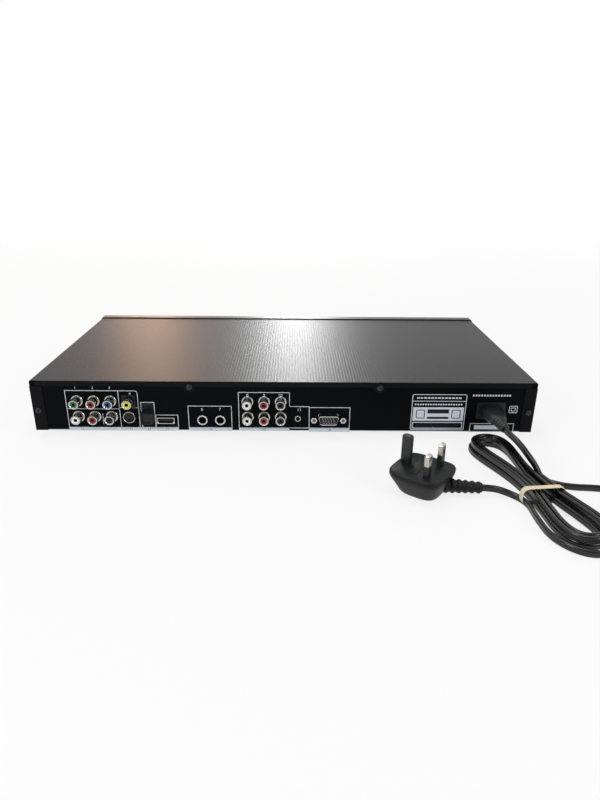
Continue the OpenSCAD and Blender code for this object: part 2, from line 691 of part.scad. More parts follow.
module drive_gear() color([0.88, 0.87, 0.82]) translate([drive_x, gear_y, 0]) difference() {
    union() {
        // The tooth gap that faces the rack takes the rack tooth at its middle
        translate([0, 0, wheel_z + wheel_t - 0.2]) gear(rack_module, rack_teeth_n, 3.9, 180 / rack_teeth_n);
        translate([0, 0, wheel_z]) gear(gear_module, wheel_teeth, wheel_t, 0);
    }
    translate([0, 0, wheel_z - 1]) cylinder(r = axle_r + pin_gap, h = 12);
}

module pulley_gear() color([0.88, 0.87, 0.82]) translate([pulley_x, gear_y, 0]) difference() {
    union() {
        translate([0, 0, wheel_z - 0.1]) gear(gear_module, pinion_teeth, wheel_t + 0.1, 180 + 180 / pinion_teeth);
        translate([0, 0, pulley_z]) belt_wheel(pulley_r, pulley_t);
    }
    translate([0, 0, pulley_z - 1]) cylinder(r = axle_r + pin_gap, h = 14);
}

// A wheel with a groove for the belt
module belt_wheel(r, t) rotate_extrude() difference() {
    square([r, t]);
    translate([r - 1.3, t / 2 - 0.9]) polygon([[0, 0], [2, -0.8], [2, 2.6], [0, 1.8]]);
}

belt_z = pulley_z + pulley_t / 2;
belt_r = 0.7;
module motor_pulley() color([0.88, 0.87, 0.82]) translate([motor_x, gear_y, 0]) {
    translate([0, 0, pulley_z]) belt_wheel(motor_pulley_r + 1.3, pulley_t);
    translate([0, 0, deck_z - 3]) cylinder(r = 1, h = pulley_z - deck_z + 4);
}

module loading_motor() color("silver") translate([motor_x, gear_y, 0]) difference() {
    union() {
        translate([0, 0, deck_z - 10]) cylinder(r = motor_r, h = 10);
        translate([0, 0, deck_z - 0.1]) cylinder(r = 3.2, h = 1.4);
    }
    translate([0, 0, deck_z - 5]) cylinder(r = 1 + pin_gap, h = 10);
}

// The belt lies in both grooves: a square ring round two circles, drawn with the common tangents
module loading_belt() color([0.05, 0.05, 0.05]) translate([0, gear_y, belt_z - belt_r]) linear_extrude(2 * belt_r)
    difference() {
        belt_shape(2 * belt_r);
        belt_shape(0);
    }
module belt_shape(grow) {
    a = pulley_r - 1.1;
    b = motor_pulley_r + 0.2;
    d = motor_x - pulley_x;
    t = acos((a - b) / d);
    translate([pulley_x, 0]) circle(a + grow);
    translate([motor_x, 0]) circle(b + grow);
    polygon([for (s = [1, -1]) each s > 0
        ? [[pulley_x + (a + grow) * cos(t), (a + grow) * sin(t)], [motor_x + (b + grow) * cos(t), (b + grow) * sin(t)]]
        : [[motor_x + (b + grow) * cos(t), -(b + grow) * sin(t)], [pulley_x + (a + grow) * cos(t), -(a + grow) * sin(t)]]]);
}

door_w = slot_w - 2 * door_gap;
door_h = slot_high - slot_low - 2 * door_gap;
door_t = 3;
module tray_front() color([0.12, 0.12, 0.13]) difference() {
    union() {
        plate_y(face_y, door_t) translate([0, slot_mid_z]) rounded(door_w, door_h, 1.2);
        // Arms that clip over the end of the tray
        for (s = [-1, 1]) block([s * (tray_w / 2 - 20) - 7, face_y + door_t - 0.1, tray_z + 0.2],
                                [s * (tray_w / 2 - 20) + 7, tray_front_y - 0.1, tray_top_z - 0.2]);
    }
    // Long shallow finger groove under the edge
    plate_y(face_y - 1, 1.8) translate([0, slot_low + door_gap + 2]) square([door_w - 30, 1.4], center = true);
}

bridge_z = tray_top_z + 4;
bridge_t = 1.2;
puck_hole_r = 15;
module clamp_bridge() color("silver") difference() {
    wx = loader_w / 2;
    union() {
        block([-wx, disc_y - 22, bridge_z], [wx, disc_y + 22, bridge_z + bridge_t]);
        for (y = [disc_y - 22, disc_y + 22 - bridge_t]) block([-wx + 6, y, bridge_z], [wx - 6, y + bridge_t, bridge_z + 2.6]);
        for (s = [-1, 1]) block([s > 0 ? wx - 2 : -wx, disc_y - 22, tray_top_z + 2.6], [s > 0 ? wx : -wx + 2, disc_y + 22, bridge_z + 0.1]);
    }
    rod_z([0, disc_y, bridge_z - 1], puck_hole_r, 4);
    for (s = [-1, 1]) block([s * 45 - 12, disc_y - 12, bridge_z - 1], [s * 45 + 12, disc_y + 12, bridge_z + 3]);
}

puck_bottom = seat_z + 1.7;
module clamp_puck() color([0.85, 0.84, 0.8]) translate([0, disc_y, 0]) difference() {
    union() {
        translate([0, 0, puck_bottom]) cylinder(r = puck_hole_r - 0.6, h = bridge_z + bridge_t + 0.4 - puck_bottom);
        translate([0, 0, bridge_z + bridge_t + flat_gap]) cylinder(r = puck_hole_r + 3, h = 1.4);
    }
    translate([0, 0, puck_bottom - 1]) cylinder(r = 8, h = 3.5);
    for (k = [0:2]) rotate([0, 0, 120 * k]) translate([10.8, 0, bridge_z + bridge_t]) cylinder(r = 1.5, h = 5);
}

module lifting_base() color([0.2, 0.2, 0.21]) lowered() difference() {
    union() {
        block([-38, disc_y - 20, base_bottom], [38, pivot_y - 5, base_top]);
        // Rim that stiffens the base
        for (s = [-1, 1]) block([s > 0 ? 36 : -38, disc_y - 20, base_bottom - 3], [s > 0 ? 38 : -36, pivot_y - 5, base_top]);
        block([-38, disc_y - 20, base_bottom - 3], [38, disc_y - 18, base_top]);
        // Arms to the pivots, between the lugs of the frame
        for (s = [-1, 1]) {
            block([s * 21 - 3.5, pivot_y - 6, base_bottom], [s * 21 + 3.5, pivot_y, base_top]);
            rod_x([s > 0 ? 17.5 : -24.5, pivot_y, pivot_z], 4, 7);
            rod_x([s > 0 ? 24 : -34, pivot_y, pivot_z], pivot_r, 10);
        }
        // Seats for the guide rods, the lead screw and its motor
        for (s = [-1, 1], y = [rod_y0, rod_y1]) block([s * rod_px - 4, y - 2.5, base_bottom], [s * rod_px + 4, y + 2.5, rod_pz + 3]);
        block([screw_px - 3, rod_y0 - 2.5, base_bottom], [screw_px + 3, rod_y0 + 2.5, rod_pz + 2.4]);
        block([screw_px - 3, rod_y1 - 2.5, base_bottom], [screw_px + 3, rod_y1 + 2.5, rod_pz + 2.4]);
    }
    // Window for the pickup
    block([-18, disc_y + 8, base_bottom - 5], [18, disc_y + 80, base_top + 1]);
    // Seat of the spindle motor
    rod_z([0, disc_y, base_bottom - 1], 6, 6);
    for (s = [-1, 1]) rod_y([s * rod_px, rod_y0 - 4, rod_pz], rod_r + 0.02, rod_y1 - rod_y0 + 8);
    rod_y([screw_px, rod_y0 - 4, rod_pz], screw_pr + pin_gap, rod_y1 - rod_y0 + 8);
}

module spindle_motor() color("silver") lowered() difference() {
    union() {
        rod_z([0, disc_y, base_top], 10.4, motor_top - base_top);
        rod_z([0, disc_y, base_bottom], 5.9, base_top - base_bottom + 0.1);
    }
    rod_z([0, disc_y, base_bottom - 1], spindle_r + pin_gap, 30);
}

module turntable() color([0.1, 0.1, 0.1]) lowered() translate([0, disc_y, 0]) {
    translate([0, 0, seat_z - 2]) cylinder(r = hub_r, h = 2);
    translate([0, 0, seat_z]) rotate_extrude() polygon([[0, 0], [7.3, 0], [7.3, 0.6], [6, 1.3], [0, 1.3]]);
    translate([0, 0, base_bottom + 0.4]) cylinder(r = spindle_r, h = seat_z - base_bottom - 1);
}

module guide_rods() color("silver") lowered()
    for (s = [-1, 1]) rod_y([s * rod_px, rod_y0 - 3.5, rod_pz], rod_r, rod_y1 - rod_y0 + 7);

module lead_screw() color("silver") lowered() {
    rod_y([screw_px, rod_y0 - 6, rod_pz], screw_pr, rod_y1 - rod_y0 + 8);
    // Collars that keep it in its seats
    for (y = [rod_y0 + 2.8, rod_y1 - 4]) rod_y([screw_px, y, rod_pz], screw_pr + 0.8, 1.2);
}

// A small motor with flats above and below, lying on the base
module sled_motor() color("silver") lowered() difference() {
    intersection() {
        rod_y([screw_px, rod_y0 - 12.8, rod_pz], 5, 10);
        block([screw_px - 8, rod_y0 - 20, base_top], [screw_px + 8, rod_y0, tray_z - 0.9]);
    }
    rod_y([screw_px, rod_y0 - 8, rod_pz], screw_pr + pin_gap, 6);
}

module optical_pickup() color([0.35, 0.35, 0.37]) lowered() difference() {
    body_top = tray_z - 0.9;
    py = pickup_start;
    union() {
        block([-15, py - 11.5, base_top - 4], [15, py + 20, body_top]);
        // Long bearing on the main rod, fork on the other, nut on the lead screw
        block([14, py - 8, rod_pz - 2.9], [rod_px + 3, py + 16, rod_pz + 2.9]);
        block([-rod_px - 3, py - 2, rod_pz - 2.9], [-14, py + 6, rod_pz + 2.9]);
        block([rod_px + 2, py + 2, rod_pz - 2.6], [screw_px + 2.9, py + 8, rod_pz + 2.6]);
        // Lens holder
        rod_z([0, py, body_top - 1], 7.5, 2.2);
        rod_z([0, py, body_top - 1], 4, 3);
    }
    rod_y([rod_px, py - 20, rod_pz], rod_r + pin_gap, 60);
    rod_y([screw_px, py - 20, rod_pz], screw_pr + pin_gap, 60);
    block([-rod_px - 4, py - 20, rod_pz - rod_r - pin_gap], [-rod_px + rod_r + 1.2, py + 40, rod_pz + rod_r + pin_gap]);
    rod_z([0, py, body_top + 1.2], 2.6, 3);
}

// Circuit boards

module board(low, high) block([low[0], low[1], board_z], [high[0], high[1], board_top]);

module chip(x, y, w, d, h) block([x - w / 2, y - d / 2, board_top], [x + w / 2, y + d / 2, board_top + h]);

module main_board() color([0.05, 0.3, 0.12]) difference() {
    union() {
        board([main_x[0], side_front], [main_x[1], board_back]);
        chip(main_x[0] + 55, 10, 28, 28, 3);
        chip(main_x[0] + 25, 14, 12, 20, 1.6);
        chip(main_x[0] + 85, 8, 12, 20, 1.6);
        chip(main_x[0] + 20, -40, 10, 30, 6);
        chip(main_x[0] + 80, -45, 30, 8, 8);
        for (k = [0:5]) rod_z([main_x[0] + 20 + 14 * k, 50, board_top], 4, 11);
    }
    for (p = main_points) screw_hole_z(p[0], p[1], board_z);
}

module audio_board() color([0.05, 0.3, 0.12]) difference() {
    union() {
        board([audio_x[0], strip_front], [audio_x[1], board_back]);
        for (k = [0:3]) rod_z([audio_x[0] + 16 + 14 * k, strip_front + 7, board_top], 3.2, 9);
        chip(28, strip_front + 7, 22, 8, 2);
    }
    for (p = audio_points) screw_hole_z(p[0], p[1], board_z);
    // Room for the bodies of the microphone jacks
    block([mic_x - mic_pitch / 2 - 7, board_back - mic_len - 0.4, board_z - 1], [mic_x + mic_pitch / 2 + 7, board_back + 1, board_top + 1]);
}

module power_board() color([0.45, 0.3, 0.12]) difference() {
    board([power_x[0], side_front], [power_x[1], board_back]);
    for (p = power_points) screw_hole_z(p[0], p[1], board_z);
    // Room for the mains inlet
    block([inlet_x - 13, board_back - inlet_len, board_z - 1], [inlet_x + 13, board_back + 1, board_top + 1]);
}

module power_parts() color([0.15, 0.15, 0.2]) {
    // Transformer: core and winding
    chip(power_x[0] + 50, 0, 30, 12, 24);
    chip(power_x[0] + 50, -11, 24, 10, 18);
    chip(power_x[0] + 50, 11, 24, 10, 18);
    // Mains capacitor, mains choke, smoothing capacitors
    rod_z([power_x[0] + 22, 5, board_top], 9, 28);
    chip(power_x[0] + 24, 52, 22, 16, 18);
    for (k = [0:3]) rod_z([power_x[0] + 85, -36 + 14 * k, board_top], 5, 20);
    // Heat sinks: a plate with fins
    for (x = [power_x[0] + 20, power_x[0] + 66]) translate([x, -36, board_top]) {
        cube([30, 2, 25]);
        for (k = [0:5]) translate([k * 5.6, -8, 0]) cube([2, 8.1, 25]);
    }
    // Fuse and its clips
    rod_y([power_x[0] + 55, 50, board_top + 4], 2.6, 20);
    for (y = [50, 66]) chip(power_x[0] + 55, y + 2, 7, 3, 4);
}

// A flat cable from the main board to the boards behind the front panel
module ribbon_cable() color([0.85, 0.85, 0.82]) {
    y = front_board_y + board_t + flat_gap;
    x = main_x[0] + 10;
    w = 16;
    t = 0.8;
    block([x, y, up(16)], [x + w, y + t, up(30)]);
    block([x, y, up(16)], [x + w, side_front + 4, up(16) + t]);
    block([x, side_front + 4 - t, board_top], [x + w, side_front + 4, up(16) + t]);
}

// Rear sockets

// Housing behind the panel that carries a block of phono sockets
module phono_block(x0, x1, z0, z1) difference() {
    block([x0, panel_in - 13, z0], [x1, panel_in, z1]);
    for (p = phono_spots) rod_y([p[0], panel_in - 12, p[1]], phono_dia / 2 - 0.6, 20);
}
module phono_housings() color([0.08, 0.08, 0.08]) {
    low = board_top;
    high = phono_high + 6.4;
    side = 6.8;
    for (x = [component_x, surround_x]) phono_block(x - phono_pitch - side, x + phono_pitch + side, low, high);
    // The yellow socket stands on two legs, one at each side of the round socket
    leg = 1.2;
    left = round_video_x - round_half - leg - 0.2;
    right = round_video_x + round_half + leg + 0.2;
    phono_block(left, right, phono_high - 6.9, high);
    for (x = [left, right - leg]) block([x, panel_in - 13, low], [x + leg, panel_in - 5, phono_high - 6.8]);
    // Black face of the yellow socket
    difference() {
        block([composite_x - 5.6, rear_y, phono_high - 5.6], [composite_x + 5.6, rear_y + 1.4, phono_high + 5.6]);
        rod_y([composite_x, rear_y - 1, phono_high], phono_hole_r, 4);
    }
}

sleeve_t = 0.55;
module phono_sleeves() color("silver") for (p = phono_spots) difference() {
    union() {
        rod_y([p[0], panel_in - 11, p[1]], phono_dia / 2 - 0.65, 11.2);
        rod_y([p[0], panel_in + 0.1, p[1]], phono_dia / 2, phono_out + sheet - 0.1);
        if (p != composite_spot) rod_y([p[0], rear_y, p[1]], phono_dia / 2 + 0.9, 0.7);
    }
    rod_y([p[0], panel_in - 12, p[1]], phono_dia / 2 - 0.65 - sleeve_t, 40);
}

// Coloured insulator with its bore for the pin
module phono_insert(p) difference() {
    r = phono_dia / 2 - 0.65 - sleeve_t - 0.05;
    rod_y([p[0], panel_in - 10, p[1]], r, phono_out + sheet + 10 - 0.3);
    rod_y([p[0], panel_in - 8, p[1]], 1.6, 40);
}
module phono_white() color([0.92, 0.92, 0.9]) for (i = [component_spots[4], surround_spots[4], surround_spots[5]]) phono_insert(i);
module phono_red() color([0.75, 0.08, 0.1]) for (i = [component_spots[2], component_spots[3], surround_spots[2], surround_spots[3]]) phono_insert(i);
module phono_green() color([0.1, 0.55, 0.2]) phono_insert(component_spots[5]);
module phono_blue() color([0.1, 0.2, 0.65]) phono_insert(component_spots[1]);
module phono_yellow() color([0.95, 0.8, 0.1]) phono_insert(composite_spot);
module phono_black() color([0.12, 0.12, 0.12]) for (i = [component_spots[0], surround_spots[0], surround_spots[1]]) phono_insert(i);

round_half = 5.8;
module round_video_socket() color([0.1, 0.1, 0.1]) difference() {
    union() {
        block([round_video_x - round_half, panel_in - 12, board_top], [round_video_x + round_half, panel_in, round_z + 6.2]);
        rod_y([round_video_x, panel_in - 1, round_z], 5.5, sheet + 1.8);
    }
    // Ring groove round the core, seven pin holes and the key
    difference() {
        rod_y([round_video_x, panel_in - 3, round_z], 4.5, 8);
        rod_y([round_video_x, panel_in - 3, round_z], 3.7, 3.5);
    }
    for (a = [20:40:160]) rod_y([round_video_x + 2.6 * cos(a), panel_in - 3, round_z + 2.6 * sin(a)], 0.45, 8);
    block([round_video_x - 1.1, panel_in - 3, round_z - 2.6], [round_video_x + 1.1, rear_y + 4, round_z - 1.4]);
}

// Square optical socket with a nose through the panel and a flap behind its mouth
nose_out = 8;
mouth = 7.6;
flap_t = 0.8;
flap_gap = 0.25;
module optical_socket() color([0.07, 0.07, 0.07]) difference() {
    union() {
        block([optical_x - 6.2, panel_in - 10, board_top], [optical_x + 6.2, panel_in, optical_z + 11]);
        block([optical_x - optical_w / 2, panel_in - 1, optical_z - optical_w / 2],
              [optical_x + optical_w / 2, rear_y + nose_out, optical_z + optical_w / 2]);
    }
    block([optical_x - mouth / 2, rear_y - 6, optical_z - mouth / 2], [optical_x + mouth / 2, rear_y + nose_out + 1, optical_z + mouth / 2]);
}
flap_y = rear_y + nose_out - 1.2;
module optical_shutter() color([0.05, 0.05, 0.05]) {
    block([optical_x - mouth / 2 + flap_gap, flap_y - flap_t, optical_z - mouth / 2 + flap_gap],
          [optical_x + mouth / 2 - flap_gap, flap_y, optical_z + mouth / 2 - flap_gap - 0.4]);
    rod_x([optical_x - mouth / 2 + flap_gap, flap_y - flap_t / 2, optical_z + mouth / 2 - flap_gap - 0.5], 0.5, mouth - 2 * flap_gap);
}

module hdmi_socket() color("silver") {
    difference() {
        block([hdmi_x - 7.5, panel_in - 10, hdmi_z - 2.8], [hdmi_x + 7.5, rear_y + 0.8, hdmi_z + 2.8]);
        plate_y(panel_in - 8, 14) translate([hdmi_x, hdmi_z]) polygon([[-7, 2.3], [7, 2.3], [7, -0.6], [5.6, -2.3], [-5.6, -2.3], [-7, -0.6]]);
    }
    block([hdmi_x - 5.8, panel_in - 8.1, hdmi_z - 0.4], [hdmi_x + 5.8, rear_y - 0.3, hdmi_z + 1]);
}

mic_len = 24;
module mic_jacks() color([0.1, 0.1, 0.1]) for (p = mic_spots) difference() {
    union() {
        block([p[0] - 6.5, panel_in - mic_len, p[1] - 5.4], [p[0] + 6.5, panel_in - 0.2, p[1] + 5.4]);
        rod_y([p[0], panel_in - 1, p[1]], mic_r + 1.2, sheet + 2.6);
        rod_y([p[0], rear_y, p[1]], mic_nut_r, 1);
    }
    rod_y([p[0], panel_in - mic_len + 2, p[1]], mic_r, mic_len + 4);
}

module line_jack() color([0.08, 0.08, 0.08]) difference() {
    union() {
        block([line_x - 3.6, panel_in - 12, board_top], [line_x + 3.6, panel_in - 0.2, line_z + 4]);
        rod_y([line_x, panel_in - 1, line_z], line_r + 1.4, sheet + 1.4);
    }
    rod_y([line_x, panel_in - 11, line_z], line_r, 20);
}

vga_out = 5.6;
module vga_socket() color("silver") {
    difference() {
        union() {
            plate_y(panel_in, sheet + vga_out) translate([vga_x, vga_z]) d_shape(16.9, 8.3);
            block([vga_x - 15.4, panel_in - 1, vga_z - 6], [vga_x + 15.4, panel_in, vga_z + 6]);
            block([vga_x - 9.5, panel_in - 11, board_top], [vga_x + 9.5, panel_in - 0.9, vga_z + 5.5]);
            // Hex posts that take the plug's screws
            for (s = [-1, 1]) {
                plate_y(rear_y, 5) translate([vga_x + s * post_pitch / 2, vga_z]) circle(r = 2.75, $fn = 6);
                rod_y([vga_x + s * post_pitch / 2, panel_in - 3, vga_z], 1.9, sheet + 3.1);
            }
        }
        // Three rows of five pin holes, and the threaded bores of the posts
        for (row = [-1:1], k = [-2:2]) rod_y([vga_x + k * 2.29 + row * 0.6, rear_y + vga_out - 4, vga_z + row * 1.98], 0.5, 8);
        for (s = [-1, 1]) rod_y([vga_x + s * post_pitch / 2, rear_y - 1, vga_z], 1.42, 8);
    }
}

// Two-pole inlet: a frame on the panel, a hollow body behind it and two pins
inlet_len = 18;
well_w = 19.4;
well_t = 9.4;
pole_x = 4.3;
module figure_eight(w, h) {
    for (s = [-1, 1]) translate([s * (w / 2 - h / 2), 0]) circle(h / 2);
    square([w - h, h * 0.8], center = true);
}
module mains_inlet() color([0.06, 0.06, 0.06]) {
    difference() {
        union() {
            plate_y(rear_y, 1.2) translate([inlet_x, inlet_z]) rounded(inlet_w, inlet_t, 2);
            block([inlet_x - inlet_w / 2 + 2, panel_in - inlet_len + 2, inlet_z - inlet_t / 2 + 1.5],
                  [inlet_x + inlet_w / 2 - 2, rear_y + 0.1, inlet_z + inlet_t / 2 - 1.5]);
        }
        plate_y(panel_in - 13, 20) translate([inlet_x, inlet_z]) figure_eight(well_w, well_t);
    }
    for (s = [-1, 1]) rod_y([inlet_x + s * pole_x, panel_in - 13.5, inlet_z], 1.2, 11);
}

// Mains lead. Its points are row places in mm, chosen by hand: x, y, height of the lead's middle.

connector_grip = 24;
relief_len = 15;
lead_start = [inlet_x, rear_y + connector_grip + relief_len, inlet_z];

module lead_connector() color([0.05, 0.05, 0.05]) translate([inlet_x, 0, inlet_z]) {
    difference() {
        union() {
            plate_y(panel_in - 12, 12 + sheet + 2) figure_eight(well_w - 0.6, well_t - 0.6);
            plate_y(rear_y + 1.5, connector_grip - 1.5) rounded(19.4, 10.4, 4);
        }
        for (s = [-1, 1]) rod_y([s * pole_x, panel_in - 13, 0], 1.5, 13);
    }
    // Ribbed strain relief, narrowing towards the lead
    for (k = [0:3]) translate([0, rear_y + connector_grip - 0.1 + k * 3.2, 0])
        rotate([-90, 0, 0]) flattened(8) cylinder(r = 5 - 0.45 * k, h = 2);
    translate([0, rear_y + connector_grip - 0.1, 0]) rotate([-90, 0, 0]) flattened(7.5)
        cylinder(r = 3.6, h = relief_len + 0.1);
}
// Cuts a round form flat above and below, to the height h
module flattened(h) intersection() {
    children();
    cube([100, h, 100], center = true);
}

// The hank: a peanut curve whose loops step in and out again, from the upper layer to the lower one
hank_at = [-184, 198];
hank_dir = [-0.204, 0.979];
hank_side = [-0.979, -0.204];
hank_low = lead_w / 2;
hank_end = hank_loops - 0.04;
loop_rings = 24;
function hank_curve(a) = [-hank_half * cos(a), (hank_waist + (hank_swell - hank_waist) * pow(cos(a), 2)) * sin(a)];
function unit(v) = v / norm(v);
function ease(k) = let (q = min(1, max(0, k))) q * q * (3 - 2 * q);
function hank_point(t) = let (
    a = 90 + 360 * t,
    tangent = unit(hank_curve(a + 0.5) - hank_curve(a - 0.5)),
    inset = hank_step * min(t, hank_loops - t),
    p = hank_curve(a) + inset * [tangent[1], -tangent[0]],
    xy = hank_at + p[0] * hank_dir + p[1] * hank_side,
    climb = ease((t - hank_loops / 2 + 0.22) / 0.44))
    [xy[0], xy[1], hank_low + hank_layer * (1 - climb)];
hank_rings = floor(hank_end * loop_rings);
hank_path = [for (i = [0:hank_rings]) hank_point(i * hank_end / hank_rings)];

// The plug lies on its back at plug_mid, turned by plug_turn; the lead leaves it along relief_dir
plug_mid = [-108.8, 204.8];
plug_turn = 142.5;
plug_relief_at = [9, 8, 7];
plug_relief_turn = 30;
plug_relief_len = 24;
function plug_spot(p) = [
    plug_mid[0] + p[0] * cos(plug_turn) - p[1] * sin(plug_turn),
    plug_mid[1] + p[0] * sin(plug_turn) + p[1] * cos(plug_turn), p[2]];
relief_dir = [cos(plug_turn + plug_relief_turn), sin(plug_turn + plug_relief_turn), 0];
plug_exit = plug_spot(plug_relief_at) + plug_relief_len * relief_dir;

lead_path = [
    lead_start, lead_start + [0, 5, 0], [-178.4, 161, 27.3], [-181, 166, 25.6], [-184.6, 171, 22],
    [-188, 176, 17.6], [-191, 181.5, 13.6], [-192.6, 187, 10.4],
    hank_point(0) - 4 * unit(hank_path[1] - hank_path[0]), hank_point(0)];

loose_path = [
    hank_path[hank_rings], hank_path[hank_rings] + 4 * unit(hank_path[hank_rings] - hank_path[hank_rings - 1]),
    [-196, 187, 2.7], [-202, 192.4, 2.7], [-210, 196.5, 2.7], [-219, 198.6, 2.7], [-230, 199.6, 2.7], [-241, 202, 2.7],
    [-250, 208, 2.7], [-256, 217, 2.7], [-257, 228, 2.7], [-253, 239, 2.7], [-244, 246, 2.7], [-233, 249, 2.7],
    [-224, 252.5, 2.7], [-219, 259.5, 2.7], [-216, 268, 2.7], [-210, 275.5, 2.7], [-201, 279.3, 2.7],
    [-191.5, 279, 2.7], [-183, 273.7, 2.7], [-177.2, 265.8, 2.7], [-174.2, 257, 2.7], [-173.4, 248, 2.7],
    [-173.2, 238, 2.7], [-173.5, 230, 2.7], [-173.5, 224.5, 2.7], [-172.4, 219, 2.7], [-170, 214, 2.7],
    [-166, 210.2, 3.2], [-161, 208, 4.4], [-155.6, 207.6, 6], plug_exit + 5 * relief_dir, plug_exit];

// Sweeps the lead's section along points: it stands on its edge, so every ring is upright
function ring(p, d) = let (side = unit([d[1], -d[0], 0]), rise = unit(cross(side, d)))
    [for (q = lead_section) p + q[0] * side + q[1] * rise];
lead_section = [for (q = [[0, 1], [1, 0.55], [1, -0.55], [0, -1], [-1, -0.55], [-1, 0.55]])
    [q[0] * lead_t / 2, q[1] * lead_w / 2]];
function along(path, i) = unit(path[min(i + 1, len(path) - 1)] - path[max(i - 1, 0)]);
module sweep(path) {
    n = len(lead_section);
    rings = [for (i = [0:len(path) - 1]) ring(path[i], along(path, i))];
    polyhedron(
        points = [for (r = rings) each r],
        faces = concat(
            [[for (k = [0:n - 1]) k]],
            [for (i = [0:len(path) - 2], k = [0:n - 1]) let (a = i * n + k, b = i * n + (k + 1) % n) each [[a, b + n, b], [a, a + n, b + n]]],
            [[for (k = [n - 1:-1:0]) (len(path) - 1) * n + k]]));
}

// Least gap of the hank to itself: the distance of two ring points less the section's width that way
function reach(v) = let (flat = norm([v[0], v[1]]), d = norm(v)) sqrt(pow(lead_t * flat / d, 2) + pow(lead_w * v[2] / d, 2));
hank_gap = min([for (i = [0:hank_rings], j = [i + loop_rings / 3:1:hank_rings]) let (v = hank_path[j] - hank_path[i]) norm(v) - reach(v)]);
function path_length(path, i = 1) = i >= len(path) ? 0 : norm(path[i] - path[i - 1]) + path_length(path, i + 1);
echo(least_gap_in_hank = hank_gap);
echo(lead_length = path_length(lead_path) + path_length(hank_path) + path_length(loose_path));

lead_color = [0.05, 0.05, 0.05];
module mains_lead() color(lead_color) sweep(lead_path);
module cord_hank() color(lead_color) sweep(hank_path);
module plug_lead() color(lead_color) sweep(loose_path);

// Elastic band round the hank's waist
band_at = 18;
module cord_band() color([0.9, 0.86, 0.76]) translate([hank_at[0] + band_at * hank_dir[0], hank_at[1] + band_at * hank_dir[1], 0])
    rotate([0, 0, atan2(hank_dir[1], hank_dir[0])]) translate([-2.2, 0, 0]) rotate([90, 0, 90]) linear_extrude(4.4)
        difference() {
            translate([-2, 6.6]) rounded(32.4, 13, 5);
            translate([-2, 6.6]) rounded(30.8, 11.4, 4.2);
        }

// Moulded plug, lying on its back with the pins up
module plug_place() translate([plug_mid[0], plug_mid[1], 0]) rotate([0, 0, plug_turn]) children();
module mains_plug() color([0.05, 0.05, 0.05]) plug_place() {
    r = 5;
    front = -plug_face + 12;
    hull() {
        for (x = [front + r, 12 - r], y = [-1, 1]) translate([x, y * (plug_face / 2 - r), plug_h - 5]) cylinder(r = r, h = 5, $fn = 32);
        for (x = [-18, 2], y = [-8, 8]) translate([x, y, 0]) cylinder(r = r, h = 2, $fn = 32);
    }
    // Strain relief with ribs
    translate(plug_relief_at) rotate([0, 90, plug_relief_turn]) {
        cylinder(r1 = 5.6, r2 = 3.6, h = plug_relief_len);
        for (k = [0:3]) translate([0, 0, 6 + 4 * k]) cylinder(r = 5.6 - 0.25 * k, h = 2);
    }
}

// Earth pin, and the two power pins with their insulated roots
module plug_pins() color([0.75, 0.75, 0.72]) plug_place() {
    translate([-22.2, 0, plug_h]) pin(4, 8, 22.7);
    for (s = [-1, 1]) translate([0, s * 11.1, plug_h]) pin(6.35, 4, 17.7);
}
module pin(along_x, along_y, len) intersection() {
    translate([-along_x / 2, -along_y / 2, 0]) cube([along_x, along_y, len]);
    union() {
        translate([-5, -5, 0]) cube([10, 10, len - 1.5]);
        translate([0, 0, len - 1.5]) cylinder(r1 = 5.5, r2 = 2.4, h = 1.5);
    }
}

chassis_base();
rear_panel();
top_cover();
front_panel();
display_window();
feet();
cover_screws();
board_screws();
loader_frame();
disc_tray();
tray_front();
clamp_bridge();
clamp_puck();
lifting_base();
spindle_motor();
turntable();
optical_pickup();
guide_rods();
lead_screw();
sled_motor();
loading_motor();
motor_pulley();
loading_belt();
pulley_gear();
drive_gear();
main_board();
audio_board();
power_board();
power_parts();
front_board();
ribbon_cable();
phono_housings();
phono_sleeves();
phono_white();
phono_red();
phono_green();
phono_blue();
phono_yellow();
phono_black();
round_video_socket();
optical_socket();
optical_shutter();
hdmi_socket();
mic_jacks();
line_jack();
vga_socket();
mains_inlet();
lead_connector();
mains_lead();
cord_hank();
plug_lead();
cord_band();
mains_plug();
plug_pins();
power_button();
open_button();
play_button();
stop_button();
mic_knob();
echo_knob();
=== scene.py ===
# %% [markdown]
# # A karaoke machine seen from behind
#
# The model is a low, wide machine in black sheet steel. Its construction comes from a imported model, which this
# script loads and never moves. What is made here is what the eye judges: paint, moulded plastic, plated metal,
# the white print on the back, the flat twin lead in its hank, the moulded plug and the rubber band.
#
# Lengths are written in millimetres and multiplied by `MM`. X runs along the machine, the front panel faces -Y,
# the sockets face +Y, and Z is up.

# %% Load the frame
import json
import math

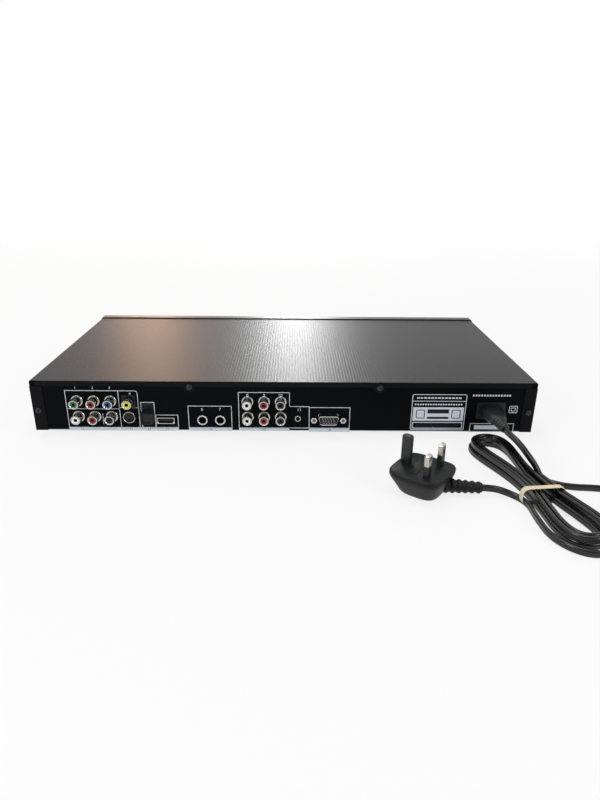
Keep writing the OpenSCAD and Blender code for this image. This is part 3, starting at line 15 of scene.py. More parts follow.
import bpy
import numpy as np
from mathutils import Matrix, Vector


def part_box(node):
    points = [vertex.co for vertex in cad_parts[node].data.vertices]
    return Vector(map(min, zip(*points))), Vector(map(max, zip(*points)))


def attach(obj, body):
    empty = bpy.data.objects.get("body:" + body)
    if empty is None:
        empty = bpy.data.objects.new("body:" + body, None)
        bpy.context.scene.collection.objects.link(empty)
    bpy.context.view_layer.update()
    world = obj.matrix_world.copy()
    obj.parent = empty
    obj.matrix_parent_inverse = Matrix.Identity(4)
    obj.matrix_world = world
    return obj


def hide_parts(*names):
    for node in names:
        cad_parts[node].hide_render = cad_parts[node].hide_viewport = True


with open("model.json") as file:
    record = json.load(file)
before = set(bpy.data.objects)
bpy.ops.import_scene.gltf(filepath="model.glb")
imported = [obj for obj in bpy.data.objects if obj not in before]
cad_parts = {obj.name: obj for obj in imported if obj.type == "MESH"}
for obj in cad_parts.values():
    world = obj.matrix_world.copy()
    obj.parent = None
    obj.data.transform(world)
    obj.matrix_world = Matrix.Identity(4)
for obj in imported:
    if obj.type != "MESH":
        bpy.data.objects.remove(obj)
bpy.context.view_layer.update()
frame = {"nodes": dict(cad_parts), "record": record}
nodes = frame["nodes"]
MM = 0.001
print("CAD nodes:", len(nodes))

# %% [markdown]
# ## The camera
#
# The camera stands behind the machine and looks down on it. Its place and its three angles were worked out from
# the corners of the case in the photograph, and the focal length of 27 mm goes with them. The columns of a
# camera's matrix are its right, its up and its backward direction, so the matrix can be written directly.

# %% Camera
EYE = (-6.8, 586.1, 229.2)
PITCH, YAW, ROLL = 0.386, -0.013, -0.010
LENS, SENSOR = 27.0, 36.0


def turned(vector, axis, angle):
    """The vector turned about an axis: its part along the axis stays, and the rest turns in its own plane."""
    vector, axis = np.array(vector, float), np.array(axis, float)
    return (vector * math.cos(angle) + np.cross(axis, vector) * math.sin(angle)
            + axis * (axis @ vector) * (1 - math.cos(angle)))


def aim(eye, pitch, yaw, roll):
    """Camera matrix: it looks along -Y, turns by yaw about Z, tips down by pitch and rolls about its view."""
    up = (0.0, 0.0, 1.0)
    ahead, right = turned((0, -1, 0), up, yaw), turned((-1, 0, 0), up, yaw)
    ahead, above = turned(ahead, right, -pitch), turned(up, right, -pitch)
    right, above = turned(right, ahead, roll), turned(above, ahead, roll)
    matrix = np.eye(4)
    matrix[:3, 0], matrix[:3, 1], matrix[:3, 2] = right, above, -ahead
    matrix[:3, 3] = np.array(eye) * MM
    return Matrix(matrix.tolist())


scene = bpy.context.scene
camera = bpy.data.objects.new("camera", bpy.data.cameras.new("camera"))
camera.data.lens, camera.data.sensor_width = LENS, SENSOR
camera.data.clip_start, camera.data.clip_end = 0.01, 100.0
scene.collection.objects.link(camera)
camera.matrix_world = aim(EYE, PITCH, YAW, ROLL)
scene.camera = camera
scene.view_settings.view_transform = "Standard"
print("camera at", [round(v, 4) for v in camera.location])

# %% [markdown]
# ## Planes to build on
#
# Printing, knobs and sockets sit on two planes: the outside of the rear panel and the face of the front panel.
# Both are read from the frame, so they follow the model. Heights on the panels are counted from the bottom edge
# of the steel case, as one would measure them with a ruler.

# %% Planes
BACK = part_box("rear_panel")[1].y / MM
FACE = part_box("front_panel")[0].y / MM
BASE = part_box("top_cover")[0].z / MM
print("rear plane", round(BACK, 2), "front plane", round(FACE, 2), "bottom edge", round(BASE, 2))


def on_back(points, out):
    """Points (x, height) on the rear panel, standing out of it by out, as row places in mm."""
    points = np.asarray(points, float)
    return np.stack([points[..., 0], np.full(points.shape[:-1], BACK) + out, points[..., 1] + BASE], -1)


def on_front(points, out):
    """Points (x, height) on the front panel, standing out of it by out."""
    points = np.asarray(points, float)
    return np.stack([points[..., 0], np.full(points.shape[:-1], FACE) - out, points[..., 1] + BASE], -1)


# %% [markdown]
# ## From arrays to meshes
#
# Every new piece is a grid of points worked out with numpy, and neighbouring points become quads. A piece may
# hold several grids. The signed volume tells whether a closed grid is inside out: it sums the little
# pyramids from the origin to each face, and it is negative if the faces point inwards.

# %% Mesh helpers
def quads(rows, columns, around_rows, around_columns):
    """Faces of a grid: each point with its neighbours in the next column and the next row."""
    i = np.arange(rows if around_rows else rows - 1)[:, None]
    j = np.arange(columns if around_columns else columns - 1)[None, :]
    i2, j2 = (i + 1) % rows, (j + 1) % columns
    return np.stack([i * columns + j, i * columns + j2, i2 * columns + j2, i2 * columns + j], -1).reshape(-1, 4)


def volume(points, faces):
    """Signed volume: a fan of triangles from each face's first corner, and a pyramid on each triangle."""
    total = 0.0
    for size in {len(f) for f in faces}:
        f = np.array([g for g in faces if len(g) == size])
        for k in range(1, size - 1):
            a, b, c = points[f[:, 0]], points[f[:, k]], points[f[:, k + 1]]
            total += float(np.einsum("ij,ij->i", a, np.cross(b, c)).sum()) / 6
    return total


def skin(grid, around_rows=False, around_columns=True, caps=True):
    """A closed skin from a grid of rings: quads between the rings and a flat face on each end."""
    rows, columns = grid.shape[:2]
    faces = quads(rows, columns, around_rows, around_columns).tolist()
    if caps and not around_rows:
        faces += [list(range(columns))[::-1], list(range((rows - 1) * columns, rows * columns))]
    points = grid.reshape(-1, 3)
    if volume(points - points.mean(0), faces) < 0:
        faces = [f[::-1] for f in faces]
    return points, faces


def piece(name, skins, material, body="root", sharp=35.0):
    """One object from several skins, smooth except where faces meet at more than `sharp` degrees."""
    points, faces, start = [], [], 0
    for skin_points, skin_faces in skins:
        points.append(skin_points)
        faces += [[i + start for i in f] for f in skin_faces]
        start += len(skin_points)
    mesh = bpy.data.meshes.new(name)
    mesh.from_pydata((np.concatenate(points) * MM).tolist(), [], faces)
    mesh.polygons.foreach_set("use_smooth", np.ones(len(mesh.polygons), bool))
    mesh.set_sharp_from_angle(angle=math.radians(sharp))
    mesh.materials.append(material)
    obj = bpy.data.objects.new(name, mesh)
    scene.collection.objects.link(obj)
    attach(obj, body)
    print(f"{name}: {len(mesh.vertices)} points")
    return obj


# %% Shapes carried along a line and turned on an axis
def directions(path, closed=False):
    """Unit tangent at each point of a path: the line between its two neighbours."""
    if closed:
        step = np.roll(path, -1, 0) - np.roll(path, 1, 0)
    else:
        step = np.gradient(path, axis=0)
    return step / np.linalg.norm(step, axis=1, keepdims=True)


def carry(path, section, closed=False):
    """A section (across, up) carried along a path and kept upright: across is level, up leans with the path."""
    ahead = directions(path, closed)
    across = np.stack([ahead[:, 1], -ahead[:, 0], np.zeros(len(path))], 1)
    across /= np.linalg.norm(across, axis=1, keepdims=True)
    above = np.cross(across, ahead)
    section = np.asarray(section, float)
    if section.ndim == 2:
        section = np.broadcast_to(section, (len(path), *section.shape))
    return path[:, None] + section[..., :1] * across[:, None] + section[..., 1:] * above[:, None]


def turn(profile, place, ahead, across, sides=48):
    """A profile (radius, distance) turned about the line through place along ahead, as rings of points."""
    ahead, across = np.array(ahead, float), np.array(across, float)
    above = np.cross(ahead, across)
    angle = np.linspace(0, 2 * np.pi, sides, endpoint=False)
    ring = np.cos(angle)[:, None] * across + np.sin(angle)[:, None] * above
    profile = np.asarray(profile, float)
    return np.array(place, float) + profile[:, :1, None] * ring + profile[:, 1:, None] * ahead


def round_outline(width, height, radius, per_corner=6):
    """Outline of a rectangle with round corners: a quarter circle about each corner's own centre."""
    angle = np.linspace(0, np.pi / 2, per_corner)
    arcs = [np.stack([sx * (width / 2 - radius) + radius * np.cos(angle + turn_by),
                      sy * (height / 2 - radius) + radius * np.sin(angle + turn_by)], 1)
            for sx, sy, turn_by in ((1, 1, 0), (-1, 1, np.pi / 2), (-1, -1, np.pi), (1, -1, 1.5 * np.pi))]
    return np.concatenate(arcs)


# %% [markdown]
# ## Colours and nodes
#
# Colours are written as sRGB hex, as a paint shop would give them, and turned to the linear values that Blender
# works in. One small function adds any node, sets it and links it, which keeps each material readable.

# %% Colour and node helpers
def linear(code):
    """Linear RGBA of an sRGB hex colour: a straight foot near black, and a power of 2.4 above it."""
    c = np.array([int(code[i:i + 2], 16) for i in (1, 3, 5)]) / 255
    c = np.where(c <= 0.04045, c / 12.92, ((c + 0.055) / 1.055) ** 2.4)
    return (*c.tolist(), 1.0)


def add(tree, kind, inputs=None, **settings):
    """Adds a node, sets its properties, and fills its sockets with values or links."""
    made = tree.nodes.new(kind)
    for key, value in settings.items():
        setattr(made, key, value)
    for key, value in (inputs or {}).items():
        if isinstance(value, bpy.types.NodeSocket):
            tree.links.new(value, made.inputs[key])
        else:
            made.inputs[key].default_value = value
    return made


def surface(name, colour, rough, metallic=0.0, specular=0.5):
    """A new material with its Principled shader, and the object's own coordinates."""
    material = bpy.data.materials.new(name)
    material.use_nodes = True
    tree = material.node_tree
    shader = tree.nodes["Principled BSDF"]
    shader.inputs["Base Color"].default_value = linear(colour)
    shader.inputs["Roughness"].default_value = rough
    shader.inputs["Metallic"].default_value = metallic
    shader.inputs["Specular IOR Level"].default_value = specular
    return material, tree, shader, add(tree, "ShaderNodeTexCoord").outputs["Object"]


def grain(tree, shader, where, size, depth):
    """Bump from noise: size is the distance between its bumps and depth their height, both in mm."""
    noise = add(tree, "ShaderNodeTexNoise", {"Vector": where, "Scale": 1 / (size * MM), "Detail": 2.0})
    bump = add(tree, "ShaderNodeBump", {"Strength": 1.0, "Distance": depth * MM,
                                        "Height": noise.outputs["Fac"]})
    tree.links.new(bump.outputs["Normal"], shader.inputs["Normal"])


def mottle(tree, shader, where, first, second, size):
    """Colour that drifts between two hex colours over about size mm, as handled or aged surfaces do."""
    noise = add(tree, "ShaderNodeTexNoise", {"Vector": where, "Scale": 1 / (size * MM), "Detail": 3.0})
    mix = add(tree, "ShaderNodeMix", {"Factor": noise.outputs["Fac"]}, data_type="RGBA")
    # A mix node has sockets for numbers, vectors and colours under the same names
    colours = [s for s in mix.inputs if s.type == "RGBA"]
    colours[0].default_value, colours[1].default_value = linear(first), linear(second)
    out = [s for s in mix.outputs if s.type == "RGBA"][0]
    tree.links.new(out, shader.inputs["Base Color"])


def uneven(tree, shader, where, low, high, size):
    """Roughness that drifts between low and high over about size mm."""
    noise = add(tree, "ShaderNodeTexNoise", {"Vector": where, "Scale": 1 / (size * MM), "Detail": 2.0})
    spread = add(tree, "ShaderNodeMapRange", {"Value": noise.outputs["Fac"], "From Min": 0.3,
                                              "From Max": 0.7, "To Min": low, "To Max": high})
    tree.links.new(spread.outputs["Result"], shader.inputs["Roughness"])


# %% [markdown]
# ## Paint
#
# The cover is sheet steel with a baked wrinkle paint. Its fine, cloth-like texture spreads the lamps into soft
# streaks when the eye looks along it, and leaves it black when the eye looks straight at it. Two crossed waves
# broken up by noise give the cloth-like look. The real texture is about 0.4 mm fine, and it is drawn at 1.5 mm
# so that it shows. The rear panel has a smooth satin paint of a deeper black.

# %% Paint
WRINKLE, WRINKLE_DEPTH = 1.5, 0.10
# A wave node makes about three waves per unit, so this share of its scale puts the waves WRINKLE apart
WAVE_SHARE = 0.31
# Gloss of the top, and a lower gloss on the sides and back edges: painted shade that keeps them darker
TOP_GLOSS, EDGE_GLOSS_PAINTED_SHADE = 0.16, 0.045


def wrinkle_paint():
    """Baked black wrinkle paint: soft gloss on the top, less on the back edges and sides as painted shade, waves
    and noise as bump.
    """
    material, tree, shader, where = surface("wrinkle_paint", "#17181a", 0.36, specular=TOP_GLOSS)
    # Less gloss where the surface doesn't face up: painted shade on the sides and the folded back edges
    facing = add(tree, "ShaderNodeSeparateXYZ", {0: add(tree, "ShaderNodeTexCoord").outputs["Normal"]})
    gloss_and_painted_shade = add(tree, "ShaderNodeMapRange", {"Value": facing.outputs["Z"], "From Min": 0.3,
                                             "From Max": 0.8, "To Min": EDGE_GLOSS_PAINTED_SHADE, "To Max": TOP_GLOSS})
    tree.links.new(gloss_and_painted_shade.outputs["Result"], shader.inputs["Specular IOR Level"])
    where = add(tree, "ShaderNodeMapping", {"Vector": where, "Scale": (0.6, 1.0, 1.0)}).outputs["Vector"]
    noise = add(tree, "ShaderNodeTexNoise", {"Vector": where, "Scale": 1 / (WRINKLE * MM),
                                             "Detail": 3.0, "Roughness": 0.6})
    wave = {"Vector": where, "Scale": WAVE_SHARE / (WRINKLE * MM), "Distortion": 4.0, "Detail": 2.0,
            "Detail Scale": 2.0}
    heights = [add(tree, "ShaderNodeTexWave", wave, bands_direction=axis).outputs["Fac"] for axis in ("X", "Y")]
    waves = add(tree, "ShaderNodeMath", {0: heights[0], 1: heights[1]}, operation="MULTIPLY")
    both = add(tree, "ShaderNodeMath", {0: waves.outputs[0], 1: noise.outputs["Fac"]}, operation="ADD")
    bump = add(tree, "ShaderNodeBump", {"Strength": 0.8, "Distance": WRINKLE_DEPTH * MM,
                                        "Height": both.outputs[0]})
    tree.links.new(bump.outputs["Normal"], shader.inputs["Normal"])
    mottle(tree, shader, where, "#101113", "#161618", 60.0)
    return material


def satin_paint(name, colour, rough, specular):
    """Smooth sprayed paint: a faint orange-peel of 2 mm, and roughness that drifts a little."""
    material, tree, shader, where = surface(name, colour, rough, specular=specular)
    grain(tree, shader, where, 2.0, 0.008)
    uneven(tree, shader, where, rough - 0.05, rough + 0.06, 35.0)
    return material


# %% [markdown]
# ## Metals
#
# Zinc-plated steel shows large soft patches, bright nickel is nearly a mirror with fine rubbing marks, and
# ground steel has its marks round the axis. All are fully metallic, and differ in colour and roughness.

# %% Metals
STRETCH = 40


def plated_metal(name, colour, other, rough, patch):
    """Plated metal: two near colours that drift over patch mm, and roughness that drifts with them."""
    material, tree, shader, where = surface(name, colour, rough, metallic=1.0)
    mottle(tree, shader, where, colour, other, patch)
    uneven(tree, shader, where, rough - 0.04, rough + 0.08, patch / 2)
    grain(tree, shader, where, 0.8, 0.004)
    return material


def brushed_metal(name, colour, rough, along):
    """Brushed or ground metal: noise stretched by STRETCH along one axis, as roughness and bump."""
    material, tree, shader, where = surface(name, colour, rough, metallic=1.0)
    scale = [1.0, 1.0, 1.0]
    scale[along] = 1 / STRETCH
    lines = add(tree, "ShaderNodeMapping", {"Vector": where, "Scale": scale}).outputs["Vector"]
    uneven(tree, shader, lines, rough - 0.06, rough + 0.1, 0.5)
    grain(tree, shader, lines, 0.5, 0.006)
    return material


# %% [markdown]
# ## Plastics and rubber
#
# Moulded ABS has a spark-eroded grain of a few tenths of a millimetre where it is matt, and none where it is
# polished. Soft PVC on the lead is smoother and shinier than the moulding of the plug. Rubber is matt.

# %% Plastics
TRACK_LENGTH, TRACK_PITCH, TRACK_GAP = 9.0, 1.6, 0.25


def moulded(name, colour, other, rough, specular=0.5, texture=0.5, depth=0.02):
    """Moulded plastic or rubber: a fine grain as bump, and a colour that drifts a very little."""
    material, tree, shader, where = surface(name, colour, rough, specular=specular)
    mottle(tree, shader, where, colour, other, 18.0)
    uneven(tree, shader, where, rough - 0.04, rough + 0.05, 12.0)
    grain(tree, shader, where, texture, depth)
    return material


def laminate(name, colour, copper):
    """Circuit board: solder resist over rows of copper tracks, drawn as bricks in rows of one pitch."""
    material, tree, shader, where = surface(name, colour, 0.35)
    tracks = add(tree, "ShaderNodeTexBrick", {"Vector": where, "Scale": 1.0, "Brick Width": TRACK_LENGTH * MM,
                                              "Row Height": TRACK_PITCH * MM, "Mortar Size": TRACK_GAP * MM,
                                              "Color1": linear(colour), "Color2": linear(copper),
                                              "Mortar": linear(colour)})
    tree.links.new(tracks.outputs["Color"], shader.inputs["Base Color"])
    grain(tree, shader, where, 1.2, 0.01)
    return material


# %% One finish for each material slot of the record
finishes = {
    # Paint: a soft sheen on the cover, and a deeper, smoother black behind the sockets
    "black_steel": wrinkle_paint(),
    "printed_steel": satin_paint("satin_black_paint", "#07090b", 0.42, 0.04),
    # Plated steel: pale grey in soft patches, and screws that are nearly black or bright
    "zinc_steel": plated_metal("zinc_plate", "#b4b7b8", "#a3a7ab", 0.34, 14.0),
    "black_screw": plated_metal("black_oxide", "#3a3b3d", "#4a4a4c", 0.38, 3.0),
    "plain_screw": plated_metal("zinc_screw", "#b9bab8", "#a5a39c", 0.3, 3.0),
    # The front: a nearly black moulding, a polished window that mirrors the room, and matt feet below
    "front_plastic": moulded("moulded_front_abs", "#1a1b1d", "#1e1f21", 0.38, texture=0.4, depth=0.012),
    "smoked_window": moulded("smoked_acrylic", "#060608", "#08080a", 0.06, texture=6.0, depth=0.002),
    "foot_rubber": moulded("foot_rubber", "#151515", "#1b1b1a", 0.75, specular=0.3),
    # The loader: black housing, creamy white gears, a brushed motor can, and rods that shine along one line
    "loader_plastic": moulded("loader_abs", "#1d1d1f", "#222224", 0.42),
    "white_plastic": moulded("natural_acetal", "#e4e1d6", "#dcd8ca", 0.35),
    "motor_steel": brushed_metal("motor_can_steel", "#b0b1b0", 0.3, 2),
    "ground_steel": brushed_metal("ground_steel", "#c4c5c6", 0.2, 1),
    "turntable_rubber": moulded("turntable_rubber", "#141414", "#191919", 0.7, specular=0.3),
    "pickup_metal": moulded("die_cast_zinc", "#55565a", "#606166", 0.45),
    "belt_rubber": moulded("belt_rubber", "#0f0f0f", "#141414", 0.6),
    # Boards: green or brown resist with paler tracks, dark sealed parts and a milky ribbon
    "circuit_board": laminate("green_laminate", "#0f4a26", "#1a6335"),
    "power_circuit_board": laminate("brown_laminate", "#8a6230", "#9a7440"),
    "power_components": moulded("potted_parts", "#232730", "#2d3038", 0.4),
    "ribbon_plastic": moulded("ribbon_vinyl", "#d8d7cd", "#cfcdc2", 0.4),
    # Sockets: matt black, bright nickel, and clear hues moulded right through
    "socket_black": moulded("socket_nylon", "#0f1012", "#141517", 0.42, specular=0.35),
    "nickel_plate": plated_metal("bright_nickel", "#cfcdc8", "#bdbbb5", 0.18, 2.0),
    "socket_white": moulded("white_abs", "#f0f0ee", "#e8e8e6", 0.3),
    "socket_red": moulded("red_abs", "#96141f", "#8a101b", 0.3),
    "socket_green": moulded("green_abs", "#1d8049", "#187541", 0.3),
    "socket_blue": moulded("blue_abs", "#20589c", "#1b4e8c", 0.3),
    "socket_yellow": moulded("yellow_abs", "#e6df33", "#dcd42a", 0.3),
    # The lead shines softly along its length, the band is matt and waxy, and the buttons have a metallic spray
    "lead_pvc": moulded("soft_pvc", "#050608", "#08090b", 0.24, specular=0.5, texture=0.9, depth=0.006),
    "elastic_band": moulded("natural_rubber", "#e3d6b6", "#d8c9a4", 0.6, texture=0.7, depth=0.03),
    "button_plastic": moulded("silver_sprayed_abs", "#8f9195", "#999b9f", 0.28, texture=0.3, depth=0.006),
    "knob_plastic": moulded("knob_abs", "#242527", "#2a2b2d", 0.4),
}
for part in frame["record"]["subparts"]:
    obj = nodes[part["node"]]
    obj.data.materials.clear()
    obj.data.materials.append(finishes[part["material_slot"]])
# Screen print dries matt, and its edge stands a few hundredths of a millimetre high
ink = moulded("screen_print_ink", "#d3dce4", "#c8d1da", 0.55, specular=0.2, texture=0.6, depth=0.01)
dark_ink = moulded("dark_print_ink", "#16181b", "#1b1d20", 0.5, specular=0.2, texture=0.6, depth=0.01)
print("finishes:", len(finishes))

# %% [markdown]
# ## The lead, end to end
#
# The lead is a flat twin cord, 5.4 mm by 3.2 mm, and it stands on its edge because a flat cord bends easily
# only about its thin side. It leaves the connector, drops to the hank, runs round it, goes out in one loose
# loop and comes back through the rubber band to the plug. The hank is a peanut-shaped curve whose loops step
# in and out again, from the upper layer to the lower one. A smooth curve through all the points is the
# centre line.

# %% Route of the lead
LEAD_WIDE, LEAD_THICK = 5.4, 3.2
# Middle of the hank, the way it lies, and the way across it
HANK_AT, HANK_DIR, HANK_SIDE = np.array([-184, 198.0]), np.array([-0.204, 0.979]), np.array([-0.979, -0.204])
HANK_LOOPS, HANK_HALF, HANK_WAIST, HANK_SWELL = 4, 78.0, 10.0, 38.0
# Step between loops, height of the upper layer, and where the last loop is left, in turns
HANK_STEP, HANK_LAYER, HANK_END = 3.9, 5.9, 3.96
LAYER_CHANGE, SMALL_ANGLE = 0.44, 0.0087
POINTS_PER_LOOP, CURVE_STEPS, RING_STEP = 72, 12, 2.4
PLUG_MID, PLUG_TURN = np.array([-108.8, 204.8, 0.0]), math.radians(142.5)
RELIEF_AT, RELIEF_TURN, RELIEF_LEN = np.array([9, 8, 7.0]), math.radians(30), 24.0
GRIP, CONNECTOR_RELIEF = 24.0, 15.0
INLET = np.array([-177.3, BACK, BASE + 20.7])


def hank_curve(a):
    """Peanut curve: along by a cosine, and across by a sine whose height swells towards the two ends."""
    return np.stack([-HANK_HALF * np.cos(a),
                     (HANK_WAIST + (HANK_SWELL - HANK_WAIST) * np.cos(a) ** 2) * np.sin(a)], -1)


def hank_points(t):
    """Loops of the hank for t in turns: the curve moved inwards by the step, and down at half way."""
    a = np.pi / 2 + 2 * np.pi * t
    tangent = hank_curve(a + SMALL_ANGLE) - hank_curve(a - SMALL_ANGLE)
    tangent /= np.linalg.norm(tangent, axis=1, keepdims=True)
    inset = HANK_STEP * np.minimum(t, HANK_LOOPS - t)[:, None]
    p = hank_curve(a) + inset * np.stack([tangent[:, 1], -tangent[:, 0]], 1)
    q = np.clip((t - HANK_LOOPS / 2 + LAYER_CHANGE / 2) / LAYER_CHANGE, 0, 1)
    xy = HANK_AT + p[:, :1] * HANK_DIR + p[:, 1:] * HANK_SIDE
    height = LEAD_WIDE / 2 + HANK_LAYER * (1 - q * q * (3 - 2 * q))
    return np.concatenate([xy, height[:, None]], 1)


def towards(a, b):
    """Unit vector from a to b."""
    return (b - a) / np.linalg.norm(b - a)


def plug_spot(p):
    """A place in the plug's own frame as a row place: turned by the plug's turn, then moved to its middle."""
    p, c, s = np.asarray(p, float), math.cos(PLUG_TURN), math.sin(PLUG_TURN)
    return PLUG_MID + np.stack([p[..., 0] * c - p[..., 1] * s, p[..., 0] * s + p[..., 1] * c, p[..., 2]], -1)


def smooth(points, step):
    """A curve through the points: each stretch is a cubic that leaves and arrives along the line between the
    two neighbours of its end. It is then cut into even steps."""
    p = np.vstack([2 * points[0] - points[1], points, 2 * points[-1] - points[-2]])
    t = np.linspace(0, 1, CURVE_STEPS, endpoint=False)[None, :, None]
    a, b, c, d = (p[i:len(p) - 3 + i, None] for i in range(4))
    curve = 0.5 * (2 * b + (c - a) * t + (2 * a - 5 * b + 4 * c - d) * t ** 2
                   + (3 * b - a - 3 * c + d) * t ** 3)
    curve = np.vstack([curve.reshape(-1, 3), points[-1]])
    along = np.concatenate([[0], np.cumsum(np.linalg.norm(np.diff(curve, axis=0), axis=1))])
    even = np.linspace(0, along[-1], int(along[-1] / step) + 1)
    return np.stack([np.interp(even, along, curve[:, k]) for k in range(3)], 1)


hank = hank_points(np.linspace(0, HANK_END, int(HANK_END * POINTS_PER_LOOP)))
lead_start = INLET + (0, GRIP + CONNECTOR_RELIEF, 0)
relief_dir = np.array([math.cos(PLUG_TURN + RELIEF_TURN), math.sin(PLUG_TURN + RELIEF_TURN), 0])
plug_exit = plug_spot(RELIEF_AT) + RELIEF_LEN * relief_dir
lead_path = np.array([
    lead_start, lead_start + (0, 5, 0), (-178.4, 161, 27.3), (-181, 166, 25.6), (-184.6, 171, 22),
    (-188, 176, 17.6), (-191, 181.5, 13.6), (-192.6, 187, 10.4), hank[0] - 4 * towards(hank[0], hank[1])])
# The loose loop lies on the floor on its edge, then rises to the plug
floor_points = [
    (-196, 187), (-202, 192.4), (-210, 196.5), (-219, 198.6), (-230, 199.6), (-241, 202), (-250, 208),
    (-256, 217), (-257, 228), (-253, 239), (-244, 246), (-233, 249), (-224, 252.5), (-219, 259.5), (-216, 268),
    (-210, 275.5), (-201, 279.3), (-191.5, 279), (-183, 273.7), (-177.2, 265.8), (-174.2, 257), (-173.4, 248),
    (-173.2, 238), (-173.5, 230), (-173.5, 224.5), (-172.4, 219), (-170, 214)]
loose_path = np.array([hank[-1] + 4 * towards(hank[-2], hank[-1])]
                      + [(x, y, LEAD_WIDE / 2) for x, y in floor_points]
                      + [(-166, 210.2, 3.2), (-161, 208, 4.4), (-155.6, 207.6, 6),
                         plug_exit + 5 * relief_dir, plug_exit])
# Every third point of the hank is enough to carry the curve
route = smooth(np.vstack([lead_path, hank[::3], loose_path]), RING_STEP)

# %% The lead itself
GROOVE = 0.16


def twin_section(wide, thick, sides=20):
    """Section of a flat twin lead: two round cores side by side, with a shallow groove between them."""
    a = np.linspace(0, 2 * np.pi, sides, endpoint=False)
    tall = wide / 2 * np.sin(a)
    core = wide / 2 - thick / 2
    past = np.maximum(np.abs(tall) - core, 0)
    groove = GROOVE * thick / 2 * np.cos(np.clip(tall / core, -1, 1) * np.pi / 2) ** 2
    half = np.sqrt(np.maximum((thick / 2) ** 2 - past ** 2, 0)) - groove
    return np.stack([np.sign(np.cos(a)) * half, tall], 1)


lead = piece("twin_lead", [skin(carry(route, twin_section(LEAD_WIDE, LEAD_THICK)))],
             finishes["lead_pvc"], sharp=60.0)
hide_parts("mains_lead", "cord_hank", "plug_lead")

# %% [markdown]
# ## The plug
#
# It is a moulded three-pin plug that lies on its back with its pins up. The body is a stack of rounded
# outlines: small on the back, full size at the face, with soft edges. The two power pins have black roots and
# nickel tips, and the earth pin is black plastic. The strain relief is a tapered tube with ribs round it.

# %% Plug body
# Height of the face above the back, and the fuse carrier's length, width, corner radius and place
PLUG_H, FUSE_SIZE, FUSE_X = 19.5, (8.4, 25.0, 1.2), -11.6


def rounded_form(a, half_x, half_y, power):
    """Superellipse: cosine and sine raised to 2/power, which goes from a round outline to a square one."""
    c, s = np.cos(a), np.sin(a)
    return np.stack([half_x * np.sign(c) * np.abs(c) ** (2 / power),
                     half_y * np.sign(s) * np.abs(s) ** (2 / power)], -1)


def plug_body():
    """Rings from the middle of the back, up the leaning side, over the soft edge and in across the face."""
    a = np.linspace(0, 2 * np.pi, 96, endpoint=False)
    # Height, middle, half length, half width, power, of each ring
    rings = [(0.0, -8.0, 0.1, 0.1, 2.4), (0.0, -8.0, 12.5, 10.5, 3.0), (0.5, -8.0, 14.0, 12.2, 3.2),
             (2.0, -8.0, 15.2, 13.4, 3.4), (6.0, -8.2, 16.8, 15.3, 3.7), (10.0, -8.4, 18.6, 17.6, 4.0),
             (14.0, -8.5, 20.0, 19.7, 4.4), (15.6, -8.5, 20.4, 20.3, 4.6), (18.2, -8.5, 20.5, 20.5, 4.6),
             (19.1, -8.5, 20.1, 20.1, 4.6), (PLUG_H, -8.5, 19.2, 19.2, 4.6), (PLUG_H, -8.5, 0.1, 0.1, 4.6)]
    grid = np.stack([np.concatenate([rounded_form(a, x, y, p) + (mid, 0), np.full((len(a), 1), z)], 1)
                     for z, mid, x, y, p in rings])
    return skin(plug_spot(grid))


def fuse_carrier():
    """The fuse carrier between the pins: a plate with soft edges that stands 0.5 mm out of the face."""
    outline = round_outline(*FUSE_SIZE) + (FUSE_X, 0)
    middle = outline.mean(0)
    grid = np.stack([np.concatenate([middle + (outline - middle) * s, np.full((len(outline), 1), z)], 1)
                     for s, z in ((1.0, 18.6), (1.0, 19.8), (0.95, 20.0), (0.01, 20.0))])
    return skin(plug_spot(grid))


def strain_relief(place, ahead, profile):
    """A ribbed tapered tube: its profile turned about the line through place along ahead."""
    across = np.array([ahead[1], -ahead[0], 0])
    return skin(turn(profile, (0, 0, 0), ahead, across) + place)


# A rib stands RIB_HIGH out, and RIB_FLAT widens its crest and the groove between two ribs
RIB_HIGH, RIB_FLAT, RINGS_PER_RIB = 0.42, 1.6, 12


def ribs(first, last, start, length, count):
    """Profile of a ribbed tube that narrows from radius first to last: each rib is a rounded step."""
    d = np.linspace(0, length, count * RINGS_PER_RIB + 1)
    wave = np.clip(np.sin(2 * np.pi * count * d / length - np.pi / 2) * RIB_FLAT, -1, 1)
    taper = first + (last - first) * d / length
    profile = np.stack([taper + RIB_HIGH * wave, start + d], 1)
    return np.vstack([[0.05, start], profile, [LEAD_WIDE / 2 * 0.9, start + length]])


# A firmer PVC than the lead's, with a fine grain that keeps it dull
plug_pvc = moulded("plug_pvc", "#060809", "#090b0c", 0.45, specular=0.25, texture=0.6, depth=0.02)
plug_ribs = ribs(5.4, 3.9, start=-4.0, length=RELIEF_LEN + 4.0, count=6)
plug = piece("moulded_plug", [plug_body(), fuse_carrier(),
                              strain_relief(plug_spot(RELIEF_AT), relief_dir, plug_ribs)],
             plug_pvc, sharp=50.0)
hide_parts("mains_plug")

# %% Plug pins
def pin(x, y, wide, deep, low, high, tip=1.6):
    """A flat pin: rounded outline, straight up, then drawn in towards its tip."""
    outline = round_outline(wide, deep, min(wide, deep) * 0.22)
    steps = ((0.01, low), (1.0, low), (1.0, high - tip), (0.86, high - tip * 0.35), (0.6, high), (0.01, high))
    grid = np.stack([np.concatenate([outline * s + (x, y), np.full((len(outline), 1), z)], 1)
                     for s, z in steps])
    return skin(plug_spot(grid))


